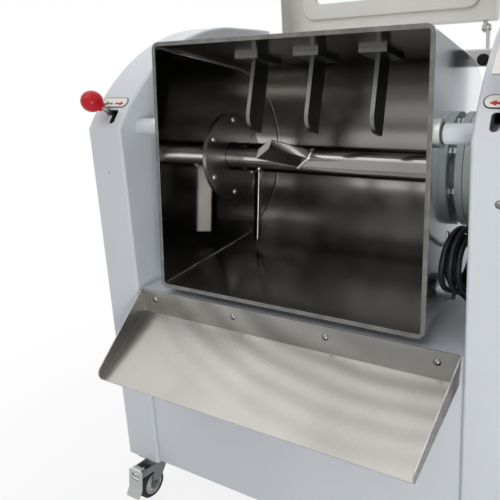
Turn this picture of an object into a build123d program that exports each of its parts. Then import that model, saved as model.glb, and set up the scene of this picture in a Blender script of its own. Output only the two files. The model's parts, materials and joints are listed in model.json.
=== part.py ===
import os
from math import acos, asin, atan2, cos, degrees, hypot, pi, radians, sin, sqrt, tan

from build123d import *

# Sheet metal, clearances and running fits
SHEET = 2.0
SEAM = 0.3
RUNNING_FIT = 0.05
BOLT_CLEARANCE = 0.5
DEPTH_CUT = 60.0

# Heights of the machine
CASTER_HEIGHT = 92.0
AXIS_OVER_BASE = 625.0
BASE_PLATE = 4.0
RAIL_WIDTH = 30.0
RAIL_HEIGHT = 24.0
RAIL_WALL = 3.0
RAIL_MARGIN = 40.0

# Columns with the curved brow
TROUGH_SIDE_GAP = 63.0
COLUMN_WIDTH = 80.0
COLUMN_FRONT = 245.0
COLUMN_BEHIND_BAR = 11.0
COLUMN_TOP = 282.0
CREASE_HEIGHT = 83.0
BROW_RADIUS = 440.0
EDGE_BEND = 6.0
FRAME_PLATE = 10.0
FRAME_INSET = 14.0
FRAME_DROP = 420.0

# Panels round the base cabinet
PANEL_STEP = 8.0
DECK_AIR = 13.3
PANEL_RETURN = 18.0
SCREW_MARGIN = 30.0
PILOT_RADIUS = 2.0
LOUVRE_COUNT = 7
LOUVRE_PITCH = 24.0
LOUVRE_LENGTH = 150.0
LOUVRE_WIDTH = 7.0

# Discharge chute
CHUTE_TOP_PROUD = 1.3
CHUTE_BACK_HEIGHT = 46.8
CHUTE_SIDE_GAP = 6.6
CHUTE_TAPER = 21.4
CHUTE_REACH = 375.6
CHUTE_FRONT_DROP = 344.8
CHUTE_LIP = 16.0
CHUTE_CORNER = 13.0
CHUTE_SCREW_PITCH = 185.8
CHUTE_SCREW_DROP = 18.3

# Trough, in its own frame with the mouth facing the front
TROUGH_WIDTH = 504.0
TROUGH_WALL = 3.0
TROUGH_RADIUS = 191.0
MOUTH_DEPTH = 220.7
MOUTH_REAR_HALF = 211.0
MOUTH_FRONT_HALF = 227.4
RIM_LIP = 4.3
RIM_DEPTH = 6.0
RIM_CORNER = 14.0
CORNER_WELD = 4.0
REST_TILT = 4.5

# Hanging dough bars on the rear wall
BAR_PITCH = 125.5
BAR_REACH = 79.0
BAR_SETBACK = 8.0
BAR_LEAN = 7.5
BAR_DEPTH = 46.0
BAR_THICKNESS = 8.0
BAR_LENGTH = 140.0
BAR_CORNER = 28.0
BAR_BASE_LENGTH = 84.0
BAR_BASE_WIDTH = 50.0
BAR_BASE_THICKNESS = 8.0

# Trunnions
NECK_RADIUS = 75.0
NECK_LENGTH = 7.0
FLANGE_RADIUS = 100.0
FLANGE_THICKNESS = 12.0
FLANGE_FACE_RADIUS = 76.0
FLANGE_GAP = 1.0
JOURNAL_RADIUS = 60.0
BOLT_COUNT = 8
BOLT_RING_RADIUS = 87.0
BOLT_RADIUS = 5.0
BOLT_HEAD_RADIUS = 9.2
BOLT_HEAD_HEIGHT = 6.0
NUT_HEIGHT = 8.0
BEARING_FLANGE_RADIUS = 92.0
BEARING_SPIGOT_RADIUS = 72.0
BEARING_LENGTH = 15.0

# Seal discs inside the trough
SEAL_RADIUS = 95.0
SEAL_THICKNESS = 4.0
SEAL_BOLT_COUNT = 6
SEAL_BOLT_RING_RADIUS = 79.0
DOME_RADIUS = 6.0
DOME_HEIGHT = 4.0

# Agitator
SHAFT_RADIUS = 30.0
SHAFT_CLEARANCE = 1.0
COLLAR_RADIUS = 42.0
COLLAR_WIDTH = 14.0
BLADE_LONG = 50.0
BLADE_SHORT = 21.0
BLADE_SKEW = 48.0
BLADE_EDGE = 1.5
BLADE_REACH = 174.0
BLADE_PITCH = 52.8
BLADE_LEFT_GAP = 69.0
BLADE_MIDDLE_X = -55.0
BLADE_RIGHT_GAP = 59.0
BLADE_LEFT_ANGLE = -82.0
BLADE_MIDDLE_ANGLE = 15.5
BLADE_RIGHT_ANGLE = 195.5

# Gear pair and belt drive in the right column
GEAR_MODULE = 5.0
GEAR_TEETH = 60
PINION_TEETH = 15
GEAR_FACE = 24.0
GEAR_BACKLASH = 0.45
GEAR_ADDENDUM = 0.8
GEAR_DEDENDUM = 1.1
PRESSURE_ANGLE = 20.0
GEAR_AIR = 4.0
GEAR_RIM = 16.0
GEAR_WEB = 12.0
GEAR_HUB_RADIUS = 54.0
GEAR_HOLE_COUNT = 6
GEAR_HOLE_RADIUS = 24.0
GEAR_HOLE_RING_RADIUS = 90.0
GEAR_END_PLAY = 4.0
COUNTER_RADIUS = 15.0
COUNTER_BEARING_RADIUS = 40.0
COUNTER_SPIGOT_RADIUS = 28.0
LARGE_PULLEY_RADIUS = 140.0
SMALL_PULLEY_RADIUS = 35.0
PULLEY_WIDTH = 18.0
BELT_TOP = 13.0
BELT_BOTTOM = 8.0
BELT_HEIGHT = 8.0
BELT_OUT = 3.0
BELT_AIR = 0.3
PULLEY_WEB = 8.0
PULLEY_HUB_RADIUS = 32.0

# Motor in the base cabinet
MOTOR_Y = 60.0
MOTOR_SEAT = 90.0
MOTOR_BODY_RADIUS = 76.0
MOTOR_BELL_RADIUS = 84.0
MOTOR_LENGTH = 220.0
MOTOR_BELL_LENGTH = 28.0
MOTOR_END_GAP = 30.0
MOTOR_SHAFT_RADIUS = 12.0
MOTOR_FOOT_WIDTH = 150.0
MOTOR_FOOT_HEIGHT = 12.0
TERMINAL_LENGTH = 90.0
TERMINAL_WIDTH = 80.0
TERMINAL_RISE = 30.0

# Trough locks
PIN_RADIUS = 15.0
PIN_Y = -192.0
PIN_Z = 84.0
PIN_PROUD = 48.0
PIN_END_AIR = 1.0
LEVER_INSET = 42.0
LEVER_CRANK = 15.0
CRANK_STATION = 50.0
CRANK_BEND = 8.0
LEVER_ANGLE = 41.0
LEVER_LENGTH = 77.0
LEVER_RADIUS = 5.0
KNOB_RADIUS = 20.0
KNOB_BORE_DEPTH = 18.0
KNOB_NECK = 2.0
KNOB_AIR = 0.1
PIN_CHAMFER = 2.0
SLOT_WIDTH = 13.0
SLOT_DROP = 17.0
SLOT_STATION = 42.0
GUIDE_RADIUS = 24.0
GUIDE_FLANGE_RADIUS = 34.0
GUIDE_LENGTH = 7.0
CUP_OUTER = 21.0
CUP_BORE = 15.6
CUP_LENGTH = 13.0
CUP_LUG_RADIUS = 25.0

# Lid, standing open
LID_OVERHANG = 2.0
LID_AIR = 4.0
LID_LENGTH = 480.0
LID_DEPTH = 46.0
LID_SHEET = 1.5
LID_CORNER = 6.0
LID_BEHIND_HINGE = 33.0
LID_ABOVE_HINGE = 15.0
HINGE_BEHIND_FACE = 19.0
HINGE_PIN_RADIUS = 4.0
HINGE_LUG_RADIUS = 9.0
HINGE_EAR_INSET = 24.0
HINGE_EAR_WIDTH = 6.0
HINGE_BRACKET_WIDTH = 5.0
HINGE_AIR = 0.5
CLOSED_ANGLE = 90.0
CROSSBAR_SIDE = 36.0
CROSSBAR_WALL = 3.0
CROSSBAR_DROP = 42.0
WINDOW_MARGIN = 30.0
FRAME_INSET_SIDE = 38.0
FRAME_BAND = 36.0
FRAME_HEIGHT = 8.0
FRAME_CORNER = 30.0
WINDOW_THICKNESS = 4.0
WINDOW_OVERLAP = 8.0
HANDLE_ROD = 6.0
HANDLE_HALF_SPAN = 75.0
HANDLE_STAND = 36.0
HANDLE_BEND = 14.0
HANDLE_INSET = 40.0

# Upright stops and the lid switch
BUMPER_RADIUS = 12.0
BUMPER_EDGE = 3.0
BUMPER_INSET = 16.0
BUMPER_LENGTH = 15.348
BUMPER_AIR = 1.0
SWITCH_AHEAD = 98.0
SWITCH_LENGTH = 55.0
SWITCH_HEIGHT = 34.0
SWITCH_DEPTH = 20.0

# Controls on the right brow
CONTROL_ANGLE = 33.0
CONTROL_PITCH = 6.0
CONTROL_HALF_SPAN = 10.0
CONTROL_WIDTH = 58.0
CONTROL_PLATE = 1.5
BUTTON_RADIUS = 11.0
BUTTON_PROUD = 9.0
BUTTON_INSIDE = 16.0
BUTTON_TRAVEL = 4.0
BUTTON_AIR = 0.3
BEZEL_RADIUS = 15.0
BEZEL_HEIGHT = 4.0
MUSHROOM_RADIUS = 19.0
MUSHROOM_HEIGHT = 12.0

# Casters
CASTER_SIDE_INSET = 48.0
CASTER_FRONT_INSET = 33.0
CASTER_REAR_INSET = 50.0
CASTER_PLATE_LENGTH = 62.0
CASTER_PLATE_WIDTH = 64.0
CASTER_PLATE_THICKNESS = 4.0
WHEEL_RADIUS = 31.0
WHEEL_WIDTH = 22.0
TYRE_DEPTH = 7.0
WHEEL_TRAIL = 30.0
KINGPIN_RADIUS = 6.0
CROWN_RADIUS = 22.0
FORK_SHEET = 3.0
FORK_AIR = 2.0
LEG_EYE = 11.0
LEG_EDGE = 7.0
LEG_SLANT = 0.55
AXLE_RADIUS = 4.0
PEDAL_OUT = 26.0
PEDAL_UP = 46.0
PEDAL_PIN = 3.0
PEDAL_SHEET = 2.5
PEDAL_WIDTH = 36.0
PEDAL_BARREL = 5.5
PEDAL_RISE = 9.0
PEDAL_NOSE = 9.0
PEDAL_WAIST = 14.0
PEDAL_LIP = 24.0
PEDAL_WAIST_DROP = 30.0
PEDAL_DROP = 46.0
PEDAL_BEND = 5.0
PEDAL_SLOT_LENGTH = 20.0
PEDAL_SLOT_WIDTH = 4.5
PEDAL_SLOT_PITCH = 10.0

# Mains cord
CORD_RADIUS = 4.5
COIL_OUT = 31.0
COIL_Y = -165.0
COIL_Z = -110.0
COIL_MEAN = 44.0
COIL_HALF_WIDTH = 10.0
COIL_HALF_DEPTH = 13.0
FEED_RISE = 34.0
FEED_BACK = 70.0
FEED_DROP = 24.0
TAIL_BACK = 40.0
HOOK_RADIUS = 3.0
GLAND_OUT = 26.0
GLAND_Y = 46.0
GLAND_RADIUS = 11.0
GLAND_NUT = 8.0
GLAND_COLLAR = 14.0
GLAND_HEIGHT = 44.0
PLUG_OUT = 22.0
PLUG_Y = -72.0
PLUG_RELIEF = 26.0
PLUG_LENGTH = 28.0
PLUG_EDGE = 4.0
PLUG_PIN_RADIUS = 2.4
PLUG_PIN_LENGTH = 18.0
PLUG_PIN_RING = 9.5
PLUG_RADIUS = 18.0

# Trough corners and walls that neighbours are placed from
def tangent_spot(radius, half):
    reach = hypot(MOUTH_DEPTH, half)
    turn = atan2(half, MOUTH_DEPTH) + acos(radius / reach)
    return (-radius * cos(turn), radius * sin(turn))


def wall_slope(half):
    touch = tangent_spot(TROUGH_RADIUS, half)
    return atan2(half - touch[1], MOUTH_DEPTH + touch[0])


def rim_height_at_rest(half):
    turn = radians(REST_TILT)
    return MOUTH_DEPTH * sin(turn) + (half + TROUGH_WALL + RIM_LIP) * cos(turn)


def rim_drop_at_rest(half):
    turn = radians(REST_TILT)
    return (half + TROUGH_WALL + RIM_LIP) * cos(turn) - MOUTH_DEPTH * sin(turn)


def rear_wall_reach(height):
    touch = tangent_spot(TROUGH_RADIUS, MOUTH_REAR_HALF)
    slope = wall_slope(MOUTH_REAR_HALF)
    return touch[1] + (height + touch[0]) * tan(slope) + TROUGH_WALL / cos(slope)


# Values that follow from the sizes above
END_WALL = TROUGH_WIDTH / 2 + TROUGH_WALL
COLUMN_INNER = END_WALL + TROUGH_SIDE_GAP
COLUMN_OUTER = COLUMN_INNER + COLUMN_WIDTH
BROW_Z = COLUMN_TOP - BROW_RADIUS
BROW_Y = -COLUMN_FRONT + sqrt(BROW_RADIUS ** 2 - (CREASE_HEIGHT - BROW_Z) ** 2)
HINGE_Z = rim_height_at_rest(MOUTH_REAR_HALF) + LID_AIR + LID_DEPTH - LID_BEHIND_HINGE
CROSSBAR_BOTTOM = HINGE_Z - CROSSBAR_DROP - CROSSBAR_SIDE
BUMPER_Z = CROSSBAR_BOTTOM + BUMPER_RADIUS + SHEET
BUMPER_END = rear_wall_reach(BUMPER_Z + BUMPER_RADIUS) + BUMPER_AIR
CROSSBAR_FRONT = BUMPER_END + BUMPER_LENGTH
COLUMN_BACK = CROSSBAR_FRONT + CROSSBAR_SIDE + COLUMN_BEHIND_BAR
HINGE_Y = CROSSBAR_FRONT + HINGE_BEHIND_FACE
LID_PLANE = HINGE_Y + LID_BEHIND_HINGE
LID_BOTTOM = HINGE_Z + LID_ABOVE_HINGE
LID_HALF_WIDTH = TROUGH_WIDTH / 2 + LID_OVERHANG
HINGE_EAR_X = LID_HALF_WIDTH - HINGE_EAR_INSET
FRAME_HALF_WIDTH = LID_HALF_WIDTH - FRAME_INSET_SIDE
BUMPER_X = TROUGH_WIDTH / 2 - BUMPER_INSET
SWITCH_Y = CROSSBAR_FRONT - SWITCH_AHEAD
SWITCH_Z = CROSSBAR_BOTTOM
PANEL_FRONT = COLUMN_FRONT - PANEL_STEP
DECK_DROP = rim_drop_at_rest(MOUTH_FRONT_HALF) + DECK_AIR
CHUTE_TOP_DROP = DECK_DROP - CHUTE_TOP_PROUD
CHUTE_BACK_HALF = COLUMN_INNER - CHUTE_SIDE_GAP
CHUTE_FRONT_HALF = CHUTE_BACK_HALF - CHUTE_TAPER
REAR_REACH = LID_PLANE + HANDLE_STAND + HANDLE_ROD
AXIS_Y = (CHUTE_REACH - REAR_REACH) / 2
AXIS_Z = CASTER_HEIGHT + AXIS_OVER_BASE
FLANGE_ONE = END_WALL + NECK_LENGTH
FLANGE_TWO = FLANGE_ONE + FLANGE_THICKNESS + FLANGE_GAP
FLANGE_END = FLANGE_TWO + FLANGE_THICKNESS
FRAME_FACE = COLUMN_INNER + SHEET + FRAME_PLATE
BEARING_END = FRAME_FACE + BEARING_LENGTH
GEAR_START = BEARING_END + GEAR_AIR
GEAR_END = GEAR_START + GEAR_FACE
GEAR_RADIUS = GEAR_MODULE * GEAR_TEETH / 2
PINION_RADIUS = GEAR_MODULE * PINION_TEETH / 2
COUNTER_Z = -(GEAR_RADIUS + PINION_RADIUS)
PULLEY_START = COLUMN_OUTER - SHEET - GEAR_AIR - PULLEY_WIDTH
PULLEY_END = PULLEY_START + PULLEY_WIDTH
PULLEY_MIDDLE = (PULLEY_START + PULLEY_END) / 2
MOTOR_Z = -AXIS_OVER_BASE + BASE_PLATE + MOTOR_SEAT
BLADE_LEFT_X = -TROUGH_WIDTH / 2 + BLADE_LEFT_GAP
BLADE_RIGHT_X = TROUGH_WIDTH / 2 - BLADE_RIGHT_GAP
PIN_TIP = COLUMN_INNER - PIN_PROUD
PIN_TRAVEL = PIN_TIP - END_WALL - PIN_END_AIR
LEVER_X = COLUMN_INNER + LEVER_INSET
BASE_Z = -AXIS_OVER_BASE
AXLE_DROP = CASTER_HEIGHT - WHEEL_RADIUS
LEG_INNER = WHEEL_WIDTH / 2 + FORK_AIR
CASTER_X = COLUMN_OUTER - CASTER_SIDE_INSET
CASTER_FRONT_Y = -COLUMN_FRONT + CASTER_FRONT_INSET
CASTER_REAR_Y = COLUMN_BACK - CASTER_REAR_INSET
COIL_X = COLUMN_INNER - COIL_OUT
GLAND_X = COLUMN_INNER - GLAND_OUT
PLUG_X = COLUMN_INNER - PLUG_OUT


# Shared shape helpers
def block(x0, x1, y0, y1, z0, z1):
    return Pos((x0 + x1) / 2, (y0 + y1) / 2, (z0 + z1) / 2) * Box(x1 - x0, y1 - y0, z1 - z0)


def disc(radius, x0, x1, y=0.0, z=0.0):
    return Pos((x0 + x1) / 2, y, z) * Rot(0, 90, 0) * Cylinder(radius, x1 - x0)


def ring(outer, inner, x0, x1, y=0.0, z=0.0):
    return disc(outer, x0, x1, y, z) - disc(inner, x0 - 1, x1 + 1, y, z)


def yz_plate(face, x0, x1):
    return extrude(Plane.YZ.offset(x0) * face, x1 - x0)


def turned(points):
    face = make_face(Polyline(*points, close=True))
    return revolve(face, Axis.X)


def mirrored(shape):
    return mirror(shape, about=Plane.YZ)


def both_sides(shape):
    return [shape, mirrored(shape)]


def polar_spots(count, radius, start=0.0):
    spots = []
    for index in range(count):
        angle = radians(start + 360 * index / count)
        spots.append((radius * cos(angle), radius * sin(angle)))
    return spots


def rounded_rect(width, height, radius):
    return RectangleRounded(width, height, radius)


def tilted(shape):
    return Rot(-REST_TILT, 0, 0) * shape


def brow_plane(angle, x):
    turn = radians(angle)
    spot = (x, BROW_Y - BROW_RADIUS * sin(turn), BROW_Z + BROW_RADIUS * cos(turn))
    return Plane(origin=spot, x_dir=(1, 0, 0), z_dir=(0, -sin(turn), cos(turn)))


def brow_skin(rise0, rise1, angle0, angle1, x0, x1):
    def spot(rise, angle):
        reach = BROW_RADIUS + rise
        turn = radians(angle)
        return (BROW_Y - reach * sin(turn), BROW_Z + reach * cos(turn))

    middle = (angle0 + angle1) / 2
    outer = ThreePointArc(spot(rise1, angle0), spot(rise1, middle), spot(rise1, angle1))
    inner = ThreePointArc(spot(rise0, angle0), spot(rise0, middle), spot(rise0, angle1))
    start = Line(spot(rise0, angle0), spot(rise1, angle0))
    end = Line(spot(rise0, angle1), spot(rise1, angle1))
    return yz_plate(make_face([outer, end, inner, start]), x0, x1)


# Column shells with slot, journal and pin holes
def column_outline(inset):
    front = -COLUMN_FRONT + inset
    back = COLUMN_BACK - inset
    top = COLUMN_TOP - inset
    bottom = BASE_Z + inset
    radius = BROW_RADIUS - inset
    crease = BROW_Z + sqrt(radius ** 2 - (front - BROW_Y) ** 2)
    turn = (atan2(crease - BROW_Z, front - BROW_Y) + pi / 2) / 2
    middle = (BROW_Y + radius * cos(turn), BROW_Z + radius * sin(turn))
    return make_face([
        Line((front, bottom), (front, crease)),
        ThreePointArc((front, crease), middle, (BROW_Y, top)),
        Line((BROW_Y, top), (back, top)),
        Line((back, top), (back, bottom)),
        Line((back, bottom), (front, bottom)),
    ])


def bend_edges(solid, x):
    chosen = []
    for edge in solid.edges().filter_by_position(Axis.X, x, x):
        spot = edge.center()
        if spot.Z > BASE_Z + COLUMN_WIDTH and spot.Y < COLUMN_BACK - COLUMN_WIDTH / 2:
            chosen.append(edge)
    return chosen


def lever_plane():
    turn = radians(LEVER_ANGLE)
    spot = (LEVER_X, PIN_Y - SLOT_STATION * cos(turn), PIN_Z + SLOT_STATION * sin(turn))
    return Plane(origin=spot, x_dir=(1, 0, 0), z_dir=(0, -cos(turn), sin(turn)))


def slot_tool():
    run = SlotOverall(PIN_TRAVEL + SLOT_WIDTH, SLOT_WIDTH)
    notch = Rot(0, 0, 90) * SlotOverall(SLOT_DROP + SLOT_WIDTH, SLOT_WIDTH)
    sketch = Pos(-PIN_TRAVEL / 2, 0) * run + Pos(-PIN_TRAVEL, -SLOT_DROP / 2) * notch
    return extrude(lever_plane() * sketch, DEPTH_CUT / 2, both=True)


def column_shell():
    outer = yz_plate(column_outline(0), COLUMN_INNER, COLUMN_OUTER)
    outer = fillet(bend_edges(outer, COLUMN_INNER), EDGE_BEND)
    void = yz_plate(column_outline(SHEET), COLUMN_INNER + SHEET, COLUMN_OUTER + SHEET)
    void = fillet(bend_edges(void, COLUMN_INNER + SHEET), EDGE_BEND - SHEET)
    shell = outer - void
    shell -= disc(JOURNAL_RADIUS + SHEET, COLUMN_INNER - SHEET, FRAME_FACE)
    shell -= disc(PIN_RADIUS + SEAM, COLUMN_INNER - SHEET, FRAME_FACE, PIN_Y, PIN_Z)
    return shell - slot_tool()


def right_column():
    shell = column_shell()
    shell -= disc(MOTOR_SHAFT_RADIUS + SHEET, COLUMN_INNER - SHEET, FRAME_FACE, MOTOR_Y, MOTOR_Z)
    for place in button_places():
        hole = Cylinder(BUTTON_RADIUS + BUTTON_AIR, DEPTH_CUT)
        shell -= place * hole
    return shell


def left_column():
    spot = (control_x(), -COLUMN_FRONT, 0)
    hole = Plane(origin=spot, x_dir=(1, 0, 0), z_dir=(0, 1, 0)) * Cylinder(PILOT_RADIUS, SHEET * 4)
    return mirrored(column_shell() - hole)


def side_cover():
    return yz_plate(column_outline(SHEET + SEAM), COLUMN_OUTER - SHEET, COLUMN_OUTER)


def frame_plate():
    plate = yz_plate(column_outline(FRAME_INSET), COLUMN_INNER + SHEET, FRAME_FACE)
    low = block(0, COLUMN_OUTER, -COLUMN_FRONT, COLUMN_BACK, BASE_Z, -FRAME_DROP)
    plate -= low
    plate -= disc(BEARING_SPIGOT_RADIUS, 0, COLUMN_OUTER)
    plate -= disc(GUIDE_RADIUS, 0, COLUMN_OUTER, PIN_Y, PIN_Z)
    return plate


def right_frame_plate():
    return frame_plate() - disc(COUNTER_SPIGOT_RADIUS, 0, COLUMN_OUTER, 0, COUNTER_Z)


# Base cabinet
def base_frame():
    half = COLUMN_INNER - SEAM
    plate = block(-half, half, -PANEL_FRONT + SHEET, COLUMN_BACK - SHEET, BASE_Z, BASE_Z + BASE_PLATE)
    for x in (-COLUMN_INNER / 2, 0):
        half_rail = RAIL_WIDTH / 2
        floor = BASE_Z + BASE_PLATE
        rail = block(x - half_rail, x + half_rail, -PANEL_FRONT + RAIL_MARGIN, COLUMN_BACK - RAIL_MARGIN,
                     floor, floor + RAIL_HEIGHT)
        half_void = half_rail - RAIL_WALL
        plate += rail - block(x - half_void, x + half_void, -COLUMN_FRONT, COLUMN_BACK, floor,
                              floor + RAIL_HEIGHT - RAIL_WALL)
    return plate


def front_panel():
    half = COLUMN_INNER - SEAM
    top = -DECK_DROP - SHEET
    back = -PANEL_FRONT + SHEET
    panel = block(-half, half, -PANEL_FRONT, back, BASE_Z, top)
    return panel + block(-half, half, back, back + PANEL_RETURN, top - SHEET, top)


def rear_panel():
    half = COLUMN_INNER - SEAM
    top = -DECK_DROP - SHEET
    panel = block(-half, half, COLUMN_BACK - SHEET, COLUMN_BACK, BASE_Z, top)
    panel += block(-half, half, COLUMN_BACK - SHEET - PANEL_RETURN, COLUMN_BACK - SHEET, top - SHEET, top)
    middle = (BASE_Z + top) / 2
    for side in (-1, 1):
        for index in range(LOUVRE_COUNT):
            z = middle + LOUVRE_PITCH * (index - (LOUVRE_COUNT - 1) / 2)
            slot = SlotOverall(LOUVRE_LENGTH, LOUVRE_WIDTH)
            spot = Plane(origin=(side * COLUMN_INNER / 2, COLUMN_BACK, z), x_dir=(1, 0, 0), z_dir=(0, 1, 0))
            panel -= extrude(spot * slot, SHEET * 2, both=True)
    return panel


def deck_plate():
    half = COLUMN_INNER - SEAM
    plate = block(-half, half, -PANEL_FRONT, COLUMN_BACK, -DECK_DROP - SHEET, -DECK_DROP)
    return plate - Pos(GLAND_X, GLAND_Y, -DECK_DROP) * Cylinder(CORD_RADIUS + SEAM, SHEET * 4)


# Discharge chute folded from one sheet
def chute():
    fold_z = -CHUTE_TOP_DROP - CHUTE_BACK_HEIGHT
    fold_y = -PANEL_FRONT - SHEET
    run = CHUTE_REACH + fold_y
    fall = CHUTE_FRONT_DROP + fold_z
    length = hypot(run, fall)
    slope = atan2(fall, run)
    back_half = CHUTE_BACK_HALF
    front_half = CHUTE_FRONT_HALF
    normal = (0, -sin(slope), cos(slope))
    plane = Plane(origin=(0, fold_y, fold_z), x_dir=(1, 0, 0), z_dir=normal)
    back = block(-back_half, back_half, fold_y, -PANEL_FRONT, fold_z - SHEET, -CHUTE_TOP_DROP)
    outline = make_face(Polyline((-back_half, SHEET / 2), (back_half, SHEET / 2), (front_half, -length),
                                 (-front_half, -length), close=True))
    floor = extrude(plane * outline, -SHEET)
    side_run = hypot(back_half - front_half, length)
    rise = CHUTE_BACK_HEIGHT * cos(slope)
    lean = CHUTE_BACK_HEIGHT * sin(slope)
    wall_face = make_face(Polyline((0, 0), (side_run, 0), (side_run, CHUTE_LIP), (-lean, rise), close=True))
    wall_face = fillet(wall_face.vertices().sort_by(Axis.X)[-2:].sort_by(Axis.Y)[-1:], CHUTE_CORNER)
    along_x = (front_half - back_half) / side_run
    along_y = length / side_run
    along = (along_x, -along_y * cos(slope), -along_y * sin(slope))
    side = Vector(*along).cross(Vector(*normal))
    start = plane.from_local_coords(Vector(back_half, 0, -SHEET / 2))
    wall_plane = Plane(origin=start, x_dir=along, z_dir=tuple(side))
    inward = SHEET if side.X < 0 else -SHEET
    wall = extrude(wall_plane * wall_face, inward)
    return back + floor + wall + mirrored(wall)


def dome(radius, height):
    sphere = (radius ** 2 + height ** 2) / (2 * height)
    top = ThreePointArc((0, height), (radius / 2, height - sphere + sqrt(sphere ** 2 - radius ** 2 / 4)),
                        (radius, 0))
    face = make_face([Line((0, 0), (0, height)), top, Line((radius, 0), (0, 0))])
    return revolve(Plane.XZ * face, Axis.Z)


def dome_at(spot, normal):
    return Plane(origin=spot, z_dir=normal) * dome(DOME_RADIUS, DOME_HEIGHT)


def panel_screws():
    screws = []
    for index in range(4):
        x = CHUTE_SCREW_PITCH * (index - 1.5)
        spot = (x, -PANEL_FRONT - SHEET, -CHUTE_TOP_DROP - CHUTE_SCREW_DROP)
        screws.append(dome_at(spot, (0, -1, 0)))
    middle = COLUMN_INNER + COLUMN_WIDTH / 2
    screws.append(dome_at((middle, -COLUMN_FRONT, 0), (0, -1, 0)))
    for side in (-1, 1):
        for y in (-COLUMN_FRONT + SCREW_MARGIN, COLUMN_BACK - SCREW_MARGIN):
            for z in (BASE_Z + SCREW_MARGIN, -DECK_DROP, CREASE_HEIGHT - SCREW_MARGIN):
                screws.append(dome_at((side * COLUMN_OUTER, y, z), (side, 0, 0)))
    return screws


# Trough and what is welded or bolted to it
def trough_face(grow, lead):
    radius = TROUGH_RADIUS + grow
    rear_half = MOUTH_REAR_HALF + grow / cos(wall_slope(MOUTH_REAR_HALF))
    front_half = MOUTH_FRONT_HALF + grow / cos(wall_slope(MOUTH_FRONT_HALF))
    rear = tangent_spot(radius, rear_half)
    front = tangent_spot(radius, front_half)
    rear_lead = rear_half + lead * tan(wall_slope(MOUTH_REAR_HALF))
    front_lead = front_half + lead * tan(wall_slope(MOUTH_FRONT_HALF))
    mouth = -MOUTH_DEPTH - lead
    return make_face([
        Line((mouth, rear_lead), rear),
        ThreePointArc(rear, (radius, 0), (front[0], -front[1])),
        Line((front[0], -front[1]), (mouth, -front_lead)),
        Line((mouth, -front_lead), (mouth, rear_lead)),
    ])


def trough_solid(grow, lead, half_width):
    return yz_plate(trough_face(grow, lead), -half_width, half_width)


def trough_rim():
    high = MOUTH_REAR_HALF + TROUGH_WALL + RIM_LIP
    low = -MOUTH_FRONT_HALF - TROUGH_WALL - RIM_LIP
    wide = 2 * (END_WALL + RIM_LIP)
    mouth = Plane(origin=(0, -MOUTH_DEPTH, (high + low) / 2), x_dir=(1, 0, 0), z_dir=(0, 1, 0))
    return extrude(mouth * rounded_rect(wide, high - low, RIM_CORNER), RIM_DEPTH)


def trough_shell():
    shell = trough_solid(TROUGH_WALL, 0, END_WALL) + trough_rim()
    inside = trough_solid(0, RIM_DEPTH, TROUGH_WIDTH / 2)
    shell -= fillet(inside.faces().filter_by(Axis.X).edges(), CORNER_WELD)
    shell -= disc(SHAFT_RADIUS + SHAFT_CLEARANCE, -END_WALL - 1, END_WALL + 1)
    return tilted(shell)


def dough_bar(x):
    slope = wall_slope(MOUTH_REAR_HALF)
    touch = tangent_spot(TROUGH_RADIUS, MOUTH_REAR_HALF)
    seat_z = touch[1] + (BAR_REACH + touch[0]) * tan(slope)
    plate = block(-BAR_BASE_WIDTH / 2, BAR_BASE_WIDTH / 2, -BAR_BASE_LENGTH / 2, BAR_BASE_LENGTH / 2,
                  -BAR_BASE_THICKNESS, 0)
    top = -BAR_BASE_THICKNESS / 2
    face = make_face(Polyline((-BAR_DEPTH / 2, top), (BAR_DEPTH / 2, top), (BAR_DEPTH / 2, -BAR_LENGTH),
                              (-BAR_DEPTH / 2, -BAR_LENGTH), close=True))
    corner = face.vertices().sort_by(Axis.Y)[:2].sort_by(Axis.X)[:1]
    face = fillet(corner, BAR_CORNER)
    bar = yz_plate(face, -BAR_THICKNESS / 2, BAR_THICKNESS / 2)
    bar = Pos(0, BAR_SETBACK, 0) * Rot(-BAR_LEAN, 0, 0) * bar
    return tilted(Pos(x, -BAR_REACH, seat_z) * Rot(-degrees(slope), 0, 0) * (plate + bar))


def dough_bars():
    return [dough_bar(BAR_PITCH * index) for index in (-1, 0, 1)]


def trunnion_flange():
    bore = SHAFT_RADIUS + SHAFT_CLEARANCE
    neck = ring(NECK_RADIUS, bore, END_WALL, FLANGE_ONE)
    flange = ring(FLANGE_RADIUS, bore, FLANGE_ONE, FLANGE_ONE + FLANGE_THICKNESS)
    return neck + flange - bolt_holes()


def bolt_holes():
    holes = Part()
    for y, z in polar_spots(BOLT_COUNT, BOLT_RING_RADIUS, 180 / BOLT_COUNT):
        holes += disc(BOLT_RADIUS + BOLT_CLEARANCE, FLANGE_ONE - 1, FLANGE_END + 1, y, z)
    return holes


def trunnion_journal():
    face_start = FLANGE_ONE + FLANGE_THICKNESS
    bore = SHAFT_RADIUS + RUNNING_FIT
    body = disc(FLANGE_FACE_RADIUS, face_start, FLANGE_TWO) + disc(FLANGE_RADIUS, FLANGE_TWO, FLANGE_END)
    body += disc(JOURNAL_RADIUS, FLANGE_END, BEARING_END)
    return body - disc(bore, face_start - 1, BEARING_END + 1) - bolt_holes()


def flange_bolt(y, z):
    head = RegularPolygon(BOLT_HEAD_RADIUS, 6)
    plane = Plane.YZ.offset(FLANGE_ONE - BOLT_HEAD_HEIGHT)
    bolt = extrude(plane * Pos(y, z) * head, BOLT_HEAD_HEIGHT)
    bolt += extrude(Plane.YZ.offset(FLANGE_END) * Pos(y, z) * head, NUT_HEIGHT - 2)
    return bolt + disc(BOLT_RADIUS, FLANGE_ONE - 1, FLANGE_END + NUT_HEIGHT, y, z)


def flange_bolts():
    bolts = []
    for y, z in polar_spots(BOLT_COUNT, BOLT_RING_RADIUS, 180 / BOLT_COUNT):
        bolts.extend(both_sides(tilted(flange_bolt(y, z))))
    return bolts


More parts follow.
